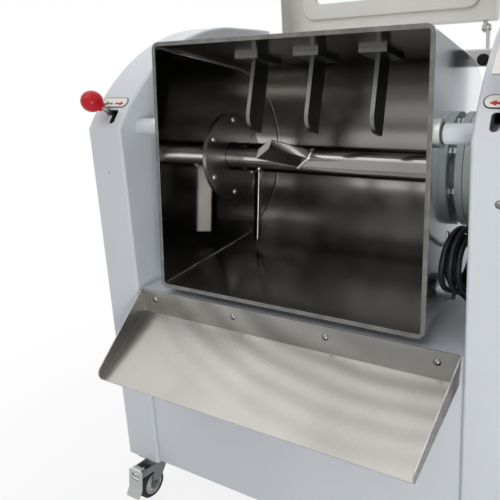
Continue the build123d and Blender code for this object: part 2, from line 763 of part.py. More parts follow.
def seal_disc():
    inner = TROUGH_WIDTH / 2
    return ring(SEAL_RADIUS, SHAFT_RADIUS + SHAFT_CLEARANCE, inner - SEAL_THICKNESS, inner)


def seal_disc_bolts():
    bolts = []
    face = TROUGH_WIDTH / 2 - SEAL_THICKNESS
    for y, z in polar_spots(SEAL_BOLT_COUNT, SEAL_BOLT_RING_RADIUS, 30):
        bolts.extend(both_sides(tilted(dome_at((face, y, z), (-1, 0, 0)))))
    return bolts


def lock_cup(turn):
    cup = ring(CUP_OUTER, CUP_BORE, END_WALL, END_WALL + CUP_LENGTH, PIN_Y, PIN_Z)
    lug = disc(CUP_LUG_RADIUS, END_WALL - TROUGH_WALL, END_WALL, PIN_Y, PIN_Z)
    wall = tilted(trough_solid(TROUGH_WALL, 0, END_WALL))
    turned_cup = Rot(turn, 0, 0) * cup
    return turned_cup + (Rot(turn, 0, 0) * lug - wall)


def lock_cups():
    cups = []
    upright = 90 - REST_TILT
    plain = ring(CUP_OUTER, CUP_BORE, END_WALL, END_WALL + CUP_LENGTH, PIN_Y, PIN_Z) - tilted(trough_rim())
    cups.extend(both_sides(plain))
    cups.extend(both_sides(lock_cup(upright)))
    return cups


# Bearings and guides on the frame plates
def trunnion_bearing():
    start = COLUMN_INNER + SHEET
    body = disc(BEARING_SPIGOT_RADIUS, start, FRAME_FACE) + disc(BEARING_FLANGE_RADIUS, FRAME_FACE, BEARING_END)
    return body - disc(JOURNAL_RADIUS + RUNNING_FIT, start - 1, BEARING_END + 1)


def countershaft_bearing():
    start = COLUMN_INNER + SHEET
    body = disc(COUNTER_SPIGOT_RADIUS, start, FRAME_FACE, 0, COUNTER_Z)
    body += disc(COUNTER_BEARING_RADIUS, FRAME_FACE, BEARING_END, 0, COUNTER_Z)
    return body - disc(COUNTER_RADIUS + RUNNING_FIT, start - 1, BEARING_END + 1, 0, COUNTER_Z)


def lock_guide():
    start = COLUMN_INNER + SHEET
    body = disc(GUIDE_RADIUS, start, FRAME_FACE, PIN_Y, PIN_Z)
    body += disc(GUIDE_FLANGE_RADIUS, FRAME_FACE, FRAME_FACE + GUIDE_LENGTH, PIN_Y, PIN_Z)
    return body - disc(PIN_RADIUS + RUNNING_FIT, start - 1, BEARING_END + 9, PIN_Y, PIN_Z)


# Agitator with pitched blades
def agitator_shaft():
    left = -BEARING_END - SEAM
    right = COLUMN_OUTER - SHEET - GEAR_AIR
    return turned([
        (left - COLLAR_WIDTH, 0), (left - COLLAR_WIDTH, COLLAR_RADIUS), (left, COLLAR_RADIUS),
        (left, SHAFT_RADIUS), (GEAR_END, SHAFT_RADIUS), (GEAR_END, COLLAR_RADIUS),
        (right, COLLAR_RADIUS), (right, 0),
    ])


def blade(x, angle):
    turn = radians(angle)
    plane = Plane(origin=(x, 0, 0), x_dir=(1, 0, 0), z_dir=(0, -cos(turn), sin(turn)))
    skew_x = BLADE_SHORT / 2 * cos(radians(BLADE_SKEW))
    skew_y = BLADE_SHORT / 2 * sin(radians(BLADE_SKEW))
    outline = make_face(Polyline((-BLADE_LONG / 2, 0), (skew_x, -skew_y), (BLADE_LONG / 2, 0),
                                 (-skew_x, skew_y), close=True))
    outline = fillet(outline.vertices(), BLADE_EDGE)
    bar = extrude(plane * Rot(0, 0, BLADE_PITCH) * outline, BLADE_REACH)
    return bar - disc(SHAFT_RADIUS, x - BLADE_LONG, x + BLADE_LONG)


def kneading_blades():
    return [
        blade(BLADE_LEFT_X, BLADE_LEFT_ANGLE),
        blade(BLADE_MIDDLE_X, BLADE_MIDDLE_ANGLE),
        blade(BLADE_RIGHT_X, BLADE_RIGHT_ANGLE),
    ]


# Gear pair with involute flanks
def involute(angle):
    return tan(angle) - angle


def gear_face(teeth, start_angle):
    pitch = GEAR_MODULE * teeth / 2
    base = pitch * cos(radians(PRESSURE_ANGLE))
    tip = pitch + GEAR_ADDENDUM * GEAR_MODULE
    root = pitch - GEAR_DEDENDUM * GEAR_MODULE
    half = (pi * GEAR_MODULE / 2 - GEAR_BACKLASH) / (2 * pitch) + involute(radians(PRESSURE_ANGLE))
    stations = [max(base, root), pitch, tip]
    points = []
    for tooth in range(teeth):
        middle = radians(start_angle) + 2 * pi * tooth / teeth
        flank = [(r, half - involute(acos(base / r))) for r in stations]
        if base > root:
            flank.insert(0, (root, flank[0][1]))
        for r, spread in flank:
            points.append((r * cos(middle - spread), r * sin(middle - spread)))
        for r, spread in reversed(flank):
            points.append((r * cos(middle + spread), r * sin(middle + spread)))
    return make_face(Polyline(*points, close=True))


def main_gear():
    gear = yz_plate(gear_face(GEAR_TEETH, -90 + 180 / GEAR_TEETH), GEAR_START, GEAR_END)
    gear -= disc(SHAFT_RADIUS, GEAR_START - 1, GEAR_END + 1)
    rim = GEAR_RADIUS - GEAR_DEDENDUM * GEAR_MODULE - GEAR_RIM
    recess = (GEAR_FACE - GEAR_WEB) / 2
    gear -= ring(rim, GEAR_HUB_RADIUS, GEAR_START - 1, GEAR_START + recess)
    gear -= ring(rim, GEAR_HUB_RADIUS, GEAR_END - recess, GEAR_END + 1)
    for y, z in polar_spots(GEAR_HOLE_COUNT, GEAR_HOLE_RING_RADIUS):
        gear -= disc(GEAR_HOLE_RADIUS, GEAR_START - 1, GEAR_END + 1, y, z)
    return gear


def countershaft():
    left = COLUMN_INNER + SHEET
    shaft = disc(COUNTER_RADIUS, left, PULLEY_END, 0, COUNTER_Z)
    pinion_end = PULLEY_START - SEAM
    pinion = yz_plate(gear_face(PINION_TEETH, 90), GEAR_START, min(GEAR_END, pinion_end))
    return shaft + Pos(0, 0, COUNTER_Z) * pinion


# Pulleys and the belt between them
def pulley(radius, bore):
    outer = radius + BELT_OUT
    floor = radius + BELT_OUT - BELT_HEIGHT - 2
    wide = BELT_TOP / 2 + BELT_AIR
    slant = (BELT_TOP - BELT_BOTTOM) / 2 * (outer - floor) / BELT_HEIGHT
    narrow = wide - slant
    half = PULLEY_WIDTH / 2
    groove = turned([(-wide, outer), (-narrow, floor), (narrow, floor), (wide, outer), (wide, outer + 1),
                     (-wide, outer + 1)])
    body = disc(outer, -half, half) - groove
    if radius > PULLEY_HUB_RADIUS * 2:
        web = PULLEY_WEB / 2
        body -= ring(floor - 8, PULLEY_HUB_RADIUS, web, half + 1)
        body -= ring(floor - 8, PULLEY_HUB_RADIUS, -half - 1, -web)
    return body - disc(bore, -half - 1, half + 1)


def large_pulley():
    return Pos(PULLEY_MIDDLE, 0, COUNTER_Z) * pulley(LARGE_PULLEY_RADIUS, COUNTER_RADIUS)


def motor_pulley():
    wheel = Pos(PULLEY_MIDDLE, MOTOR_Y, MOTOR_Z) * pulley(SMALL_PULLEY_RADIUS, MOTOR_SHAFT_RADIUS / 2)
    start = COLUMN_INNER - MOTOR_END_GAP
    return wheel + disc(MOTOR_SHAFT_RADIUS, start + BELT_AIR, PULLEY_END, MOTOR_Y, MOTOR_Z)


def belt_section(plane):
    face = make_face(Polyline((BELT_OUT, -BELT_TOP / 2), (BELT_OUT, BELT_TOP / 2),
                              (BELT_OUT - BELT_HEIGHT, BELT_BOTTOM / 2),
                              (BELT_OUT - BELT_HEIGHT, -BELT_BOTTOM / 2), close=True))
    return plane * face


def drive_belt():
    gap_y = MOTOR_Y
    gap_z = MOTOR_Z - COUNTER_Z
    length = hypot(gap_y, gap_z)
    along = atan2(gap_z, gap_y)
    lean = asin((LARGE_PULLEY_RADIUS - SMALL_PULLEY_RADIUS) / length)
    run = length * cos(lean)
    belt = Part()
    for side in (1, -1):
        out = along + side * (pi / 2 - lean)
        out_dir = (0, cos(out), sin(out))
        run_dir = (0, cos(out - side * pi / 2), sin(out - side * pi / 2))
        big = (PULLEY_MIDDLE, LARGE_PULLEY_RADIUS * out_dir[1], COUNTER_Z + LARGE_PULLEY_RADIUS * out_dir[2])
        plane = Plane(origin=big, x_dir=out_dir, z_dir=run_dir)
        section = belt_section(plane)
        belt += extrude(section, run)
    small_turn = degrees(pi - 2 * lean)
    out = along + (pi / 2 - lean)
    out_dir = (0, cos(out), sin(out))
    run_dir = (0, cos(out - pi / 2), sin(out - pi / 2))
    big = (PULLEY_MIDDLE, LARGE_PULLEY_RADIUS * out_dir[1], COUNTER_Z + LARGE_PULLEY_RADIUS * out_dir[2])
    small = (PULLEY_MIDDLE, MOTOR_Y + SMALL_PULLEY_RADIUS * out_dir[1],
             MOTOR_Z + SMALL_PULLEY_RADIUS * out_dir[2])
    big_axis = Axis((PULLEY_MIDDLE, 0, COUNTER_Z), (1, 0, 0))
    small_axis = Axis((PULLEY_MIDDLE, MOTOR_Y, MOTOR_Z), (1, 0, 0))
    belt += revolve(belt_section(Plane(origin=big, x_dir=out_dir, z_dir=run_dir)), big_axis, 360 - small_turn)
    belt += revolve(belt_section(Plane(origin=small, x_dir=out_dir, z_dir=run_dir)), small_axis, -small_turn)
    return belt


def motor():
    end = COLUMN_INNER - MOTOR_END_GAP
    start = end - MOTOR_LENGTH
    body = disc(MOTOR_BODY_RADIUS, start, end, MOTOR_Y, MOTOR_Z)
    body += disc(MOTOR_BELL_RADIUS, start, start + MOTOR_BELL_LENGTH, MOTOR_Y, MOTOR_Z)
    body += disc(MOTOR_BELL_RADIUS, end - MOTOR_BELL_LENGTH, end, MOTOR_Y, MOTOR_Z)
    low = MOTOR_Z - MOTOR_SEAT
    half = MOTOR_FOOT_WIDTH / 2
    for x in (start, end - MOTOR_BELL_LENGTH):
        body += block(x, x + MOTOR_BELL_LENGTH, MOTOR_Y - half, MOTOR_Y + half, low, low + MOTOR_FOOT_HEIGHT)
        body += block(x, x + MOTOR_BELL_LENGTH, MOTOR_Y - half / 2, MOTOR_Y + half / 2, low, MOTOR_Z)
    box_x = (start + end) / 2
    top = MOTOR_Z + MOTOR_BELL_RADIUS + TERMINAL_RISE
    body += block(box_x - TERMINAL_LENGTH / 2, box_x + TERMINAL_LENGTH / 2, MOTOR_Y - TERMINAL_WIDTH / 2,
                  MOTOR_Y + TERMINAL_WIDTH / 2, MOTOR_Z, top)
    return body


# Trough locks: pin with its cranked lever, and the ball knob
def lever_spots():
    turn = radians(LEVER_ANGLE)
    plane = Plane(origin=(LEVER_X, PIN_Y, PIN_Z), x_dir=(1, 0, 0), z_dir=(0, -cos(turn), sin(turn)))
    bend = plane.from_local_coords(Vector(0, 0, CRANK_STATION))
    ball = plane.from_local_coords(Vector(LEVER_CRANK, 0, LEVER_LENGTH))
    return plane.origin, bend, ball


def lock_pin():
    pin = disc(PIN_RADIUS, PIN_TIP, LEVER_X + PIN_RADIUS, PIN_Y, PIN_Z)
    pin = chamfer(pin.edges().filter_by_position(Axis.X, PIN_TIP, PIN_TIP), PIN_CHAMFER)
    root, bend, ball = lever_spots()
    end = ball - (ball - bend).normalized() * (KNOB_RADIUS - KNOB_BORE_DEPTH + SEAM)
    path = FilletPolyline(root, bend, end, radius=CRANK_BEND)
    start = Plane(origin=root, x_dir=(1, 0, 0), z_dir=tuple(bend - root))
    return pin + sweep(start * Circle(LEVER_RADIUS), path)


def knob():
    root, bend, ball = lever_spots()
    along = (ball - bend).normalized()
    neck = Plane(origin=ball - along * (KNOB_RADIUS + KNOB_NECK), z_dir=tuple(along))
    body = Pos(*ball) * Sphere(KNOB_RADIUS)
    body += extrude(neck * Circle(LEVER_RADIUS * 1.8), KNOB_RADIUS / 2)
    return body - extrude(neck * Circle(LEVER_RADIUS + KNOB_AIR), KNOB_BORE_DEPTH + KNOB_NECK)


# Lid with window and handle, its hinge and cross-bar
def lid_pan():
    top = LID_BOTTOM + LID_LENGTH
    pan = block(-LID_HALF_WIDTH, LID_HALF_WIDTH, LID_PLANE - LID_DEPTH, LID_PLANE, LID_BOTTOM, top)
    pan = fillet(pan.edges().filter_by(Axis.Y), LID_CORNER)
    inner = LID_HALF_WIDTH - LID_SHEET
    void = block(-inner, inner, LID_PLANE - LID_DEPTH - 1, LID_PLANE - LID_SHEET, LID_BOTTOM + LID_SHEET,
                 top - LID_SHEET)
    pan -= fillet(void.edges().filter_by(Axis.Y), LID_CORNER - LID_SHEET)
    pan -= extrude(window_plane() * window_rect(FRAME_BAND), DEPTH_CUT, both=True)
    for side in (-1, 1):
        pan += lid_ear(side)
    return pan


def lid_ear(side):
    x0 = HINGE_EAR_X
    lug = disc(HINGE_LUG_RADIUS, x0, x0 + HINGE_EAR_WIDTH, HINGE_Y, HINGE_Z)
    lug += block(x0, x0 + HINGE_EAR_WIDTH, HINGE_Y - HINGE_LUG_RADIUS, HINGE_Y + HINGE_LUG_RADIUS, HINGE_Z,
                 LID_BOTTOM + LID_SHEET)
    lug -= disc(HINGE_PIN_RADIUS + RUNNING_FIT, x0 - 1, x0 + HINGE_EAR_WIDTH + 1, HINGE_Y, HINGE_Z)
    return lug if side > 0 else mirrored(lug)


def window_middle():
    return LID_BOTTOM + LID_LENGTH / 2


def window_plane():
    spot = (0, LID_PLANE - LID_SHEET, window_middle())
    return Plane(origin=spot, x_dir=(1, 0, 0), z_dir=(0, -1, 0))


def window_rect(inset):
    width = 2 * (FRAME_HALF_WIDTH - inset)
    height = LID_LENGTH - 2 * WINDOW_MARGIN - 2 * inset
    return rounded_rect(width, height, max(FRAME_CORNER - inset / 3, 6.0))


def window_frame():
    body = extrude(window_plane() * window_rect(0), FRAME_HEIGHT)
    rim = body.edges().filter_by_position(Axis.Y, LID_PLANE - LID_SHEET - FRAME_HEIGHT,
                                          LID_PLANE - LID_SHEET - FRAME_HEIGHT)
    body = fillet(rim, 3.0)
    body -= extrude(window_plane() * window_rect(FRAME_BAND), DEPTH_CUT)
    return body - extrude(window_plane() * window_rect(FRAME_BAND - WINDOW_OVERLAP), WINDOW_THICKNESS)


def lid_window():
    return extrude(window_plane() * window_rect(FRAME_BAND - WINDOW_OVERLAP + SEAM), WINDOW_THICKNESS)


def lid_handle():
    z = LID_BOTTOM + LID_LENGTH - HANDLE_INSET + WINDOW_MARGIN / 2
    stand = LID_PLANE + HANDLE_STAND
    path = FilletPolyline((-HANDLE_HALF_SPAN, LID_PLANE, z), (-HANDLE_HALF_SPAN, stand, z),
                          (HANDLE_HALF_SPAN, stand, z), (HANDLE_HALF_SPAN, LID_PLANE, z), radius=HANDLE_BEND)
    start = Plane(origin=(-HANDLE_HALF_SPAN, LID_PLANE, z), z_dir=(0, 1, 0))
    rod = sweep(start * Circle(HANDLE_ROD), path)
    for side in (-1, 1):
        foot = Plane(origin=(side * HANDLE_HALF_SPAN, LID_PLANE, z), z_dir=(0, 1, 0))
        rod += extrude(foot * Circle(HANDLE_ROD * 1.8), LID_SHEET * 2)
    return rod


def hinge_bracket():
    x0 = HINGE_EAR_X + HINGE_EAR_WIDTH + HINGE_AIR
    x1 = x0 + HINGE_BRACKET_WIDTH
    top = CROSSBAR_BOTTOM + CROSSBAR_SIDE
    plate = disc(HINGE_LUG_RADIUS, x0, x1, HINGE_Y, HINGE_Z)
    plate += block(x0, x1, HINGE_Y - HINGE_LUG_RADIUS, HINGE_Y + HINGE_LUG_RADIUS, top, HINGE_Z)
    return plate - disc(HINGE_PIN_RADIUS, x0 - 1, x1 + 1, HINGE_Y, HINGE_Z)


def lid_crossbar():
    y1 = CROSSBAR_FRONT + CROSSBAR_SIDE
    z1 = CROSSBAR_BOTTOM + CROSSBAR_SIDE
    bar = block(-COLUMN_INNER, COLUMN_INNER, CROSSBAR_FRONT, y1, CROSSBAR_BOTTOM, z1)
    bar = fillet(bar.edges().filter_by(Axis.X), 3.0)
    wall = CROSSBAR_WALL
    bar -= block(-COLUMN_INNER - 1, COLUMN_INNER + 1, CROSSBAR_FRONT + wall, y1 - wall, CROSSBAR_BOTTOM + wall,
                 z1 - wall)
    return bar + hinge_bracket() + mirrored(hinge_bracket())


def hinge_pin():
    x0 = HINGE_EAR_X - HINGE_AIR
    x1 = HINGE_EAR_X + HINGE_EAR_WIDTH + HINGE_AIR + HINGE_BRACKET_WIDTH
    pin = disc(HINGE_PIN_RADIUS, x0, x1, HINGE_Y, HINGE_Z)
    pin += disc(HINGE_PIN_RADIUS * 1.6, x0 - 3, x0, HINGE_Y, HINGE_Z)
    return pin + disc(HINGE_PIN_RADIUS * 1.6, x1, x1 + 3, HINGE_Y, HINGE_Z)


# Upright stops and lid switch
def stop_bumper():
    plane = Plane(origin=(BUMPER_X, CROSSBAR_FRONT, BUMPER_Z), x_dir=(1, 0, 0), z_dir=(0, -1, 0))
    cap = extrude(plane * Circle(BUMPER_RADIUS), BUMPER_LENGTH)
    return fillet(cap.edges().filter_by(GeomType.CIRCLE).sort_by(Axis.Y)[:1], BUMPER_EDGE)


def limit_switch():
    x0 = COLUMN_INNER - SWITCH_DEPTH
    box = block(x0, COLUMN_INNER, SWITCH_Y, SWITCH_Y + SWITCH_LENGTH, SWITCH_Z, SWITCH_Z + SWITCH_HEIGHT)
    box = fillet(box.edges().filter_by(Axis.X), 3.0)
    box += disc(7.0, x0 - 6, x0, SWITCH_Y + SWITCH_LENGTH - 12, SWITCH_Z + SWITCH_HEIGHT - 12)
    arm = block(x0 - 6, x0 - 2, SWITCH_Y + SWITCH_LENGTH - 16, SWITCH_Y + SWITCH_LENGTH - 8,
                SWITCH_Z + SWITCH_HEIGHT - 12, SWITCH_Z + SWITCH_HEIGHT + 24)
    box += arm
    return box + disc(8.0, x0 - 12, x0 - 2, SWITCH_Y + SWITCH_LENGTH - 12, SWITCH_Z + SWITCH_HEIGHT + 24)


# Controls on the right brow
def control_x():
    return COLUMN_INNER + COLUMN_WIDTH / 2


def button_places():
    places = []
    for step in (-1, 0, 1):
        places.append(brow_plane(CONTROL_ANGLE + CONTROL_PITCH * step, control_x()))
    return places


def control_plate():
    half = CONTROL_WIDTH / 2
    plate = brow_skin(SEAM, CONTROL_PLATE, CONTROL_ANGLE - CONTROL_HALF_SPAN, CONTROL_ANGLE + CONTROL_HALF_SPAN,
                      control_x() - half, control_x() + half)
    for place in button_places():
        plate -= place * Cylinder(BUTTON_RADIUS + BUTTON_AIR, DEPTH_CUT)
    return plate


def button_bezels():
    bezels = []
    brow = disc(BROW_RADIUS + CONTROL_PLATE, COLUMN_INNER, COLUMN_OUTER, BROW_Y, BROW_Z)
    for place in button_places():
        face = Circle(BEZEL_RADIUS) - Circle(BUTTON_RADIUS + BUTTON_AIR)
        bezels.append(extrude(place * face, CONTROL_PLATE + BEZEL_HEIGHT) - brow)
    return bezels


def push_button(place):
    body = extrude(place * Circle(BUTTON_RADIUS), BUTTON_PROUD)
    return body + extrude(place * Circle(BUTTON_RADIUS), -BUTTON_INSIDE)


def emergency_button(place):
    foot = CONTROL_PLATE + BEZEL_HEIGHT + BUTTON_TRAVEL + 2
    head = Pos(0, 0, foot + MUSHROOM_HEIGHT / 2) * Cylinder(MUSHROOM_RADIUS, MUSHROOM_HEIGHT)
    head = fillet(head.edges().sort_by(Axis.Z)[-1:], 4.0)
    return place * head + extrude(place * Circle(BUTTON_RADIUS), foot + 1) + push_button(place)


# Casters
def caster_plate(x, y):
    plate = Box(CASTER_PLATE_LENGTH, CASTER_PLATE_WIDTH, CASTER_PLATE_THICKNESS)
    plate = fillet(plate.edges().filter_by(Axis.Z), 8.0)
    plate -= Cylinder(KINGPIN_RADIUS + RUNNING_FIT, CASTER_PLATE_THICKNESS * 2)
    for dx in (-1, 1):
        for dy in (-1, 1):
            spot = (dx * CASTER_PLATE_LENGTH * 0.36, dy * CASTER_PLATE_WIDTH * 0.34, 0)
            plate += Pos(*spot) * Pos(0, 0, -CASTER_PLATE_THICKNESS) * Cylinder(5.0, CASTER_PLATE_THICKNESS)
    return Pos(x, y, BASE_Z - CASTER_PLATE_THICKNESS / 2) * plate


def fork(x, y, trail, pedal):
    top = -CASTER_PLATE_THICKNESS - SEAM
    crown_low = top - 10
    body = Pos(0, 0, (top + crown_low) / 2) * Cylinder(CROWN_RADIUS, top - crown_low)
    body += Pos(0, 0, top + 1.5) * Cylinder(KINGPIN_RADIUS, 3.0)
    bridge = crown_low - FORK_SHEET
    out = LEG_INNER + FORK_SHEET
    body += block(-out, out, -CROWN_RADIUS, CROWN_RADIUS, bridge, crown_low)
    points = [(CROWN_RADIUS, crown_low), (-CROWN_RADIUS, crown_low)]
    if pedal:
        ear = PEDAL_UP - AXLE_DROP
        points += [(-trail - PEDAL_OUT - LEG_EDGE, ear + LEG_EDGE), (-trail - PEDAL_OUT - LEG_EDGE, ear - LEG_EDGE),
                   (-trail, ear - LEG_EDGE - LEG_EYE * LEG_SLANT)]
    points += [(-trail - LEG_EYE, -AXLE_DROP), (-trail + LEG_EYE, -AXLE_DROP)]
    leg_face = make_face(Polyline(*points, close=True))
    leg = yz_plate(leg_face, LEG_INNER, out) + disc(LEG_EYE, LEG_INNER, out, -trail, -AXLE_DROP)
    body += leg + mirrored(leg)
    body += disc(AXLE_RADIUS, -out - 5, out + 5, -trail, -AXLE_DROP)
    body += disc(AXLE_RADIUS * 1.8, out, out + 4, -trail, -AXLE_DROP)
    body += disc(AXLE_RADIUS * 1.8, -out - 4, -out, -trail, -AXLE_DROP)
    if pedal:
        body += disc(PEDAL_PIN, -out - 1, out + 1, -trail - PEDAL_OUT, PEDAL_UP - AXLE_DROP)
    return Pos(x, y, BASE_Z) * body


def wheel(x, y, trail):
    half = WHEEL_WIDTH / 2
    hub = WHEEL_RADIUS - TYRE_DEPTH
    tyre = turned([(-half, hub), (-half, WHEEL_RADIUS - 4), (-half + 5, WHEEL_RADIUS), (half - 5, WHEEL_RADIUS),
                   (half, WHEEL_RADIUS - 4), (half, hub)])
    bore = AXLE_RADIUS + RUNNING_FIT
    boss = half + FORK_AIR - SEAM
    core = turned([(-boss, bore), (-boss, 9), (-5, 11), (-5, 19), (-half + 1, 20), (-half + 1, hub),
                   (half - 1, hub), (half - 1, 20), (5, 19), (5, 11), (boss, 9), (boss, bore)])
    place = Pos(x, y - trail, BASE_Z - AXLE_DROP)
    return [place * tyre, place * core]


def pedal(x, y, trail):
    half = LEG_INNER - SEAM
    outline = FilletPolyline((0, PEDAL_RISE), (-PEDAL_NOSE, PEDAL_RISE), (-PEDAL_WAIST, -PEDAL_WAIST_DROP),
                             (-PEDAL_LIP, -PEDAL_DROP), radius=PEDAL_BEND)
    sheet = trace(outline, PEDAL_SHEET)
    plate = yz_plate(sheet, -PEDAL_WIDTH / 2, PEDAL_WIDTH / 2)
    middle = (PEDAL_RISE - PEDAL_DROP) / 2
    front = Plane(origin=(0, 0, middle), x_dir=(1, 0, 0), z_dir=(0, -1, 0))
    shape = RectangleRounded(PEDAL_WIDTH, PEDAL_RISE + PEDAL_DROP + PEDAL_SHEET, PEDAL_BEND)
    plate &= extrude(front * shape, DEPTH_CUT, both=True)
    beside = block(half, PEDAL_WIDTH, -LEG_EDGE - SHEET / 2, LEG_EDGE, -PEDAL_BARREL, PEDAL_WIDTH)
    plate -= beside + mirrored(beside)
    for step in (0, 1):
        slot = SlotOverall(PEDAL_SLOT_LENGTH, PEDAL_SLOT_WIDTH)
        cut = Plane(origin=(0, -PEDAL_BARREL, -PEDAL_SLOT_PITCH * step), x_dir=(1, 0, 0), z_dir=(0, -1, 0))
        plate -= extrude(cut * slot, DEPTH_CUT)
    barrel = disc(PEDAL_BARREL, -half, half) + block(-half, half, -PEDAL_PIN, PEDAL_PIN, 0, PEDAL_RISE)
    body = plate + barrel - disc(PEDAL_PIN + RUNNING_FIT, -half - 1, half + 1)
    return Pos(x, y - trail - PEDAL_OUT, BASE_Z + PEDAL_UP - AXLE_DROP) * body


# Mains cord with its gland, hook and plug
def tube(points):
    radii = []
    for index in range(1, len(points) - 1):
        before = Vector(*points[index]) - Vector(*points[index - 1])
        after = Vector(*points[index + 1]) - Vector(*points[index])
        turn = radians(before.get_angle(after))
        radii.append(0.45 * min(before.length, after.length) / tan(turn / 2))
    path = FilletPolyline(*points, radius=radii)
    heading = Vector(*points[1]) - Vector(*points[0])
    start = Plane(origin=points[0], z_dir=tuple(heading))
    return sweep(start * Circle(CORD_RADIUS), path)


def cord_leads():
    deck = -DECK_DROP
    coil_top = COIL_Z + COIL_MEAN
    coil_low = COIL_Z - COIL_MEAN
    feed = tube([
        (GLAND_X, GLAND_Y, deck + GLAND_HEIGHT), (GLAND_X, GLAND_Y, deck + GLAND_HEIGHT + FEED_RISE),
        (GLAND_X - 3, GLAND_Y - FEED_BACK, COIL_Z - FEED_DROP),
        (COIL_X, COIL_Y + FEED_BACK, coil_top - 6),
        (COIL_X, COIL_Y + 20, coil_top),
    ])
    tail = tube([
        (COIL_X, COIL_Y + 10, coil_low), (COIL_X + 2, COIL_Y + TAIL_BACK, coil_low - 4),
        (PLUG_X, PLUG_Y - 26, deck + PLUG_RADIUS), (PLUG_X, PLUG_Y, deck + PLUG_RADIUS),
    ])
    return [feed, tail]


def cord_coil():
    plane = Plane(origin=(COIL_X, COIL_Y, COIL_Z), x_dir=(0, 0, 1), z_dir=(0, -1, 0))
    section = Pos(COIL_MEAN, 0) * RectangleRounded(2 * COIL_HALF_DEPTH, 2 * COIL_HALF_WIDTH, CORD_RADIUS)
    return revolve(plane * section, Axis((COIL_X, COIL_Y, COIL_Z), (1, 0, 0)))


def cord_hook():
    z = COIL_Z + COIL_MEAN - COIL_HALF_DEPTH - HOOK_RADIUS - SEAM
    tip = COIL_X - COIL_HALF_WIDTH - 2 * HOOK_RADIUS
    path = FilletPolyline((COLUMN_INNER, COIL_Y, z), (tip, COIL_Y, z), (tip, COIL_Y, z + 14), radius=4.0)
    start = Plane(origin=(COLUMN_INNER, COIL_Y, z), z_dir=(-1, 0, 0))
    rod = sweep(start * Circle(HOOK_RADIUS), path)
    return rod + disc(HOOK_RADIUS * 3, COLUMN_INNER - SHEET, COLUMN_INNER, COIL_Y, z)


def cord_gland():
    nut = extrude(Plane.XY * RegularPolygon(GLAND_RADIUS * 1.2, 6), GLAND_NUT)
    collar = Pos(0, 0, GLAND_COLLAR / 2) * Cylinder(GLAND_RADIUS, GLAND_COLLAR)
    taper = GLAND_HEIGHT - GLAND_COLLAR
    relief = Pos(0, 0, GLAND_COLLAR + taper / 2) * Cone(GLAND_RADIUS * 0.8, CORD_RADIUS * 1.15, taper)
    return Pos(GLAND_X, GLAND_Y, -DECK_DROP) * (nut + collar + relief)


def power_plug():
    relief = Pos(0, 0, PLUG_RELIEF / 2) * Cone(CORD_RADIUS * 1.15, CORD_RADIUS * 2, PLUG_RELIEF)
    shell = Pos(0, 0, PLUG_RELIEF + PLUG_LENGTH / 2) * Cylinder(PLUG_RADIUS, PLUG_LENGTH)
    shell = fillet(shell.edges().filter_by(GeomType.CIRCLE), PLUG_EDGE)
    body = relief + shell
    end = PLUG_RELIEF + PLUG_LENGTH
    for x, y in polar_spots(3, PLUG_PIN_RING, 90):
        body += Pos(x, y, end + PLUG_PIN_LENGTH / 2) * Cylinder(PLUG_PIN_RADIUS, PLUG_PIN_LENGTH)
    spot = (PLUG_X, PLUG_Y, -DECK_DROP + PLUG_RADIUS)
    return Plane(origin=spot, x_dir=(1, 0, 0), z_dir=(0, 1, 0)) * body


# Export in the shared frame: origin on the floor under the machine's middle
def save(name, shapes):
    items = shapes if isinstance(shapes, list) else [shapes]
    solids = []
    for item in items:
        solids.extend((Pos(0, AXIS_Y, AXIS_Z) * item).solids())
    body = solids[0] if len(solids) == 1 else Compound(solids)
    export_step(body, f"parts/{name}.step")


